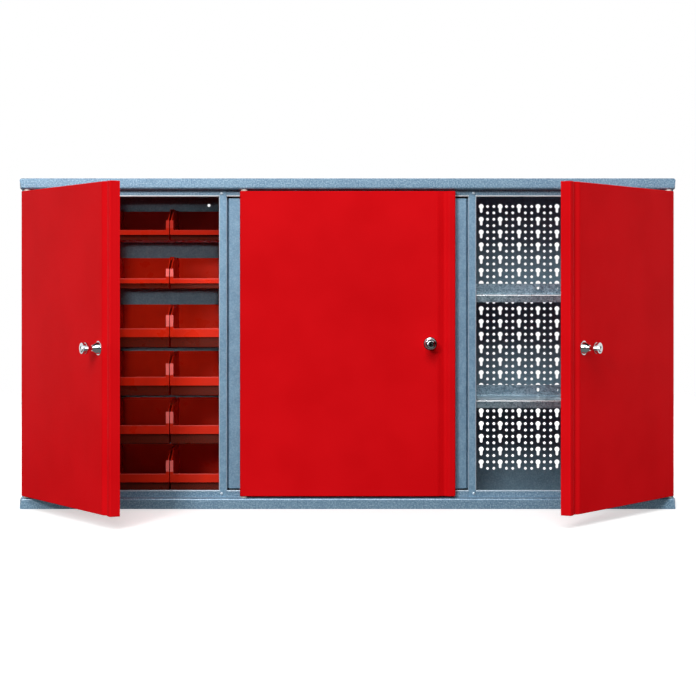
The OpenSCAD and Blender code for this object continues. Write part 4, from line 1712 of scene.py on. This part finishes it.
@dataclass
class Studio:
    """The floor, the lamps, the background and the camera.

    Attributes:
        shift: Share of the picture that the lens is shifted by.
        fill: Strength of the soft light from the sky.
        soft_lamps: Name, place, side and watts of each square lamp.
        flag_share: How far beside the set the grey card's rim is cut away.
        card_radius: Radius of the black card overhead.
    """

    floor_radius: float = 5.0
    camera_place: tuple[float, float, float] = (0.0007, -3.55, 0.389)
    lens: float = 98.4
    shift: float = -53.4 / 696
    fill: float = 0.3
    lamp_target: Point = (0, -0.1, 0.3)
    soft_lamps: tuple[tuple[str, Point, float, float], ...] = (
        ("lamp_key", (-1.1, -7.6, 6.1), 4.2, 530),
        ("lamp_front", (-1.7, -5.6, 2.0), 0.8, 125),
        ("lamp_left", (-4.33, -2.6, 0.6), 2.0, 44),
        ("lamp_right", (4.33, -2.6, 0.6), 2.0, 65),
        ("lamp_rear", (0, 3.4, 2.4), 2.0, 70),
    )
    flag_radius: float = 3.0
    flag_heights: tuple[float, float] = (-0.15 * MM, 0.85)
    flag_share: float = 1.3
    flag_grey: float = 0.18
    bin_lamp_place: tuple[float, float, float] = (0.1, -4.8, 0.6)
    bin_lamp_target: tuple[float, float, float] = (-0.34, 0.1, 0.37)
    bin_beam: float = 3.7
    bin_blend: float = 0.55
    bin_power: float = 600
    card_height: float = 2.2
    card_radius: float = 2.0
    card_shift: float = 0.6

    def hang(self, name: str, data: bpy.types.Light, place: Point, target: Point) -> bpy.types.Object:
        """Hang a lamp at a place, turned to a target, and return it.

        Args:
            name: The name.
            data: The lamp's data.
            place: Where it hangs.
            target: The point that it faces.

        Returns:
            The lamp.
        """
        lamp = bpy.data.objects.new(name, data)
        bpy.context.scene.collection.objects.link(lamp)
        lamp.location = place
        lamp.rotation_euler = (Vector(target) - Vector(place)).to_track_quat("-Z", "Y").to_euler()
        return lamp

    def lamps(self) -> None:
        """Hang a high key lamp, a lower front lamp, two side lamps, a rear lamp and the bins' lamp."""
        for name, place, size, power in self.soft_lamps:
            data = bpy.data.lights.new(name, "AREA")
            data.shape = "SQUARE"
            data.size = size
            data.energy = power
            lamp = self.hang(name, data, place, self.lamp_target)
            if name == "lamp_front":
                self.link(lamp, "EXCLUDE", ("bin_1_", "back_", "shelf_"))
        self.bin_lamp()

    def bin_lamp(self) -> None:
        """Hang a low, narrow lamp that is masked down to the lower bins and the sheet behind them."""
        data = bpy.data.lights.new("lamp_bins", "SPOT")
        data.energy = self.bin_power
        data.spot_size = math.radians(self.bin_beam)
        data.spot_blend = self.bin_blend
        data.shadow_soft_size = 0.2
        lamp = self.hang("lamp_bins", data, self.bin_lamp_place, self.bin_lamp_target)
        lamp.visible_glossy = False
        self.link(lamp, "INCLUDE", ("bin_2_", "bin_3_", "bin_4_", "bin_5_", "bin_6_", "back_left"))

    def link(self, lamp: bpy.types.Object, state: str, starts: tuple[str, ...]) -> None:
        """Mask a lamp so that it reaches only some pieces, or all but some.

        Args:
            lamp: The lamp.
            state: INCLUDE for only these pieces, or EXCLUDE for all but these.
            starts: How the pieces' names start.
        """
        masked = bpy.data.collections.new(f"{lamp.name}_mask")
        lamp.light_linking.receiver_collection = masked
        for piece in list(bpy.context.scene.objects):
            if piece.type == "MESH" and piece.name.startswith(starts):
                masked.objects.link(piece)
        for entry in masked.collection_objects:
            entry.light_linking.link_state = state

    def ceiling(self) -> None:
        """Hang a black card over the set, which only glossy surfaces see."""
        level = self.card_height
        piece = Piece.turned("ceiling", [(self.card_radius, level), (self.card_radius, level + MM)], 64)
        piece.move(at(0, self.card_shift, 0))
        self.glossy_only(piece, "ceiling", 0.0)

    def flag(self) -> None:
        """Lay a grey card with a low black rim in front, which only glossy surfaces see."""
        low, high = self.flag_heights
        piece = Piece.turned("flag", [(self.flag_radius, low), (self.flag_radius, high)], 64)
        piece.remove_faces(lambda f: f.normal.z > 0.9 or self.beside(f.calc_center_median()))
        piece.clear()
        self.glossy_only(piece, "flag", self.flag_grey)

    def glossy_only(self, piece: Piece, name: str, grey: float) -> None:
        """Give a studio card its material and hide it from all but glossy rays.

        Args:
            piece: The card.
            name: Its material's name.
            grey: How bright it is where it lies on the floor.
        """
        material = bpy.data.materials.new(name)
        material.use_nodes = True
        shader = Shader(material.node_tree)
        where = shader.node("ShaderNodeTexCoord", output="Object")
        height = shader.node("ShaderNodeSeparateXYZ", inputs={0: where}, output="Z")
        level = height.maths("LESS_THAN", height, MM) * grey
        glow = shader.node("ShaderNodeEmission", inputs={"Color": (0.9, 1, 0.97, 1), "Strength": level})
        shader.finish("ShaderNodeOutputMaterial", glow)
        piece.obj.data.materials.append(material)
        for ray in ("camera", "diffuse", "shadow", "transmission", "volume_scatter"):
            setattr(piece.obj, f"visible_{ray}", False)

    def beside(self, spot: Vector) -> bool:
        """Tell whether a spot of the rim stands beside or behind the set."""
        return spot.length > 0.5 * self.flag_radius and -spot.y < self.flag_share * abs(spot.x)

    def background(self) -> None:
        """Make the world white to the camera and soft to the surfaces."""
        world = bpy.context.scene.world or bpy.data.worlds.new("studio")
        bpy.context.scene.world = world
        world.use_nodes = True
        shader = Shader(world.node_tree)
        seen = self.seen(shader)
        way = shader.node("ShaderNodeTexCoord", output="Generated")
        height = shader.node("ShaderNodeSeparateXYZ", inputs={0: way}, output="Z")
        sky = height.ramp(-0.1, 0.6, 0.1 * self.fill, self.fill)
        dim = shader.node("ShaderNodeBackground", inputs={"Color": (1, 1, 1, 1), "Strength": sky})
        white = shader.node("ShaderNodeBackground", inputs={"Color": (1, 1, 1, 1), "Strength": 1.0})
        mixed = shader.node("ShaderNodeMixShader", inputs={0: seen, 1: dim, 2: white})
        shader.finish("ShaderNodeOutputWorld", mixed)

    @staticmethod
    def seen(shader: Shader) -> Term:
        """Return 1 for rays that show the background itself."""
        kinds = ("Camera", "Glossy", "Transmission")
        first, second, third = (shader.node("ShaderNodeLightPath", output=f"Is {kind} Ray") for kind in kinds)
        return first.maths("MAXIMUM", first, second.maths("MAXIMUM", second, third))

    def floor(self) -> None:
        """Lay a pale floor that fades into the background and keeps the shadow."""
        piece = Piece.turned("floor", [(self.floor_radius, -0.3 * MM)], 96)
        piece.clear()
        material = bpy.data.materials.new("floor")
        material.use_nodes = True
        shader = Shader(material.node_tree)
        matt = shader.node("ShaderNodeBsdfDiffuse", inputs={"Color": (0.82, 0.82, 0.82, 1)})
        glow = shader.node("ShaderNodeEmission", inputs={"Color": (1, 1, 1, 1), "Strength": 0.5})
        lit = shader.node("ShaderNodeAddShader", inputs={0: matt, 1: glow})
        rays = self.seen(shader)
        surface = shader.node("ShaderNodeMixShader", inputs={0: rays, 1: matt, 2: lit})
        where = shader.node("ShaderNodeTexCoord", output="Object")
        away = shader.node("ShaderNodeVectorMath", {"operation": "LENGTH"}, {0: where}, "Value")
        clear = shader.node("ShaderNodeBsdfTransparent")
        fade = away.ramp(0.35 * self.floor_radius, 0.9 * self.floor_radius)
        mixed = shader.node("ShaderNodeMixShader", inputs={0: fade, 1: surface, 2: clear})
        shader.finish("ShaderNodeOutputMaterial", mixed)
        piece.obj.data.materials.append(material)
        piece.obj.visible_diffuse = False

    def camera(self) -> None:
        """Stand the camera at the photograph's place."""
        data = bpy.data.cameras.new("camera")
        data.lens = self.lens
        data.sensor_width = 36
        data.shift_y = self.shift
        data.clip_end = 50
        camera = bpy.data.objects.new("camera", data)
        bpy.context.scene.collection.objects.link(camera)
        camera.location = self.camera_place
        camera.rotation_euler = (math.radians(90), 0, 0)
        bpy.context.scene.camera = camera

    def build(self) -> None:
        """Set up the whole stage."""
        bpy.context.scene.view_settings.view_transform = "Standard"
        self.camera()
        self.lamps()
        self.background()
        self.flag()
        self.ceiling()
        self.floor()


def dress_plain_nodes() -> None:
    """Give the flat perforated sheets their enamel."""
    for name in PLAIN_NODES:
        node = frame["nodes"][name]
        node.data.materials.clear()
        node.data.materials.append(REAR_ENAMEL.material())
        log.info("%s: carried over", name)


def sub_assemblies() -> list[object]:
    """Return every sub-assembly in the order it is built.

    Returns:
        The sub-assemblies.
    """
    size = CARCASS
    post, offset, sheet = size.post_x, size.wall_offset, size.sheet
    left, inner, right = size.pins
    return [
        # The top panel's rolled edge takes a stronger painted highlight than the bottom's.
        EndPanel(End.FOOT, 1.6 * MM, 0.3),
        EndPanel(End.HEAD, 5 * MM, 1.0),
        Wall("side_left", -size.bay_end, Side.RIGHT, 1.6 * MM, 5 * MM, True),
        Wall("side_right", size.bay_end, Side.LEFT, 1.6 * MM, 5 * MM, True),
        Wall("post_wall_1", -post - offset, Side.LEFT, sheet, sheet),
        Wall("post_wall_2", -post + offset, Side.RIGHT, sheet, sheet),
        Wall("post_wall_3", post - offset, Side.LEFT, sheet, sheet),
        Wall("post_wall_4", post + offset, Side.RIGHT, sheet, sheet),
        PostCover(Side.LEFT),
        PostCover(Side.RIGHT),
        FrameScrews(),
        HingePins("left", left),
        HingePins("middle", inner),
        HingePins("right", right),
        HingeWashers(),
        Shelf("shelf_upper", 389 * MM),
        Shelf("shelf_lower", 195 * MM),
        Door(DoorPlace("left", left, -58.6)),
        Door(DoorPlace("middle", inner)),
        Door(DoorPlace("right", -right, -54.6, True)),
        BinRack(),
        Studio(),
    ]


def main() -> None:
    """Build every sub-assembly in order and set the stage."""
    logging.basicConfig(level=logging.INFO, format="%(message)s")
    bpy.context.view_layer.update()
    Piece.clear()
    for assembly in sub_assemblies():
        assembly.build()
    dress_plain_nodes()


if __name__ == "__main__":
    main()
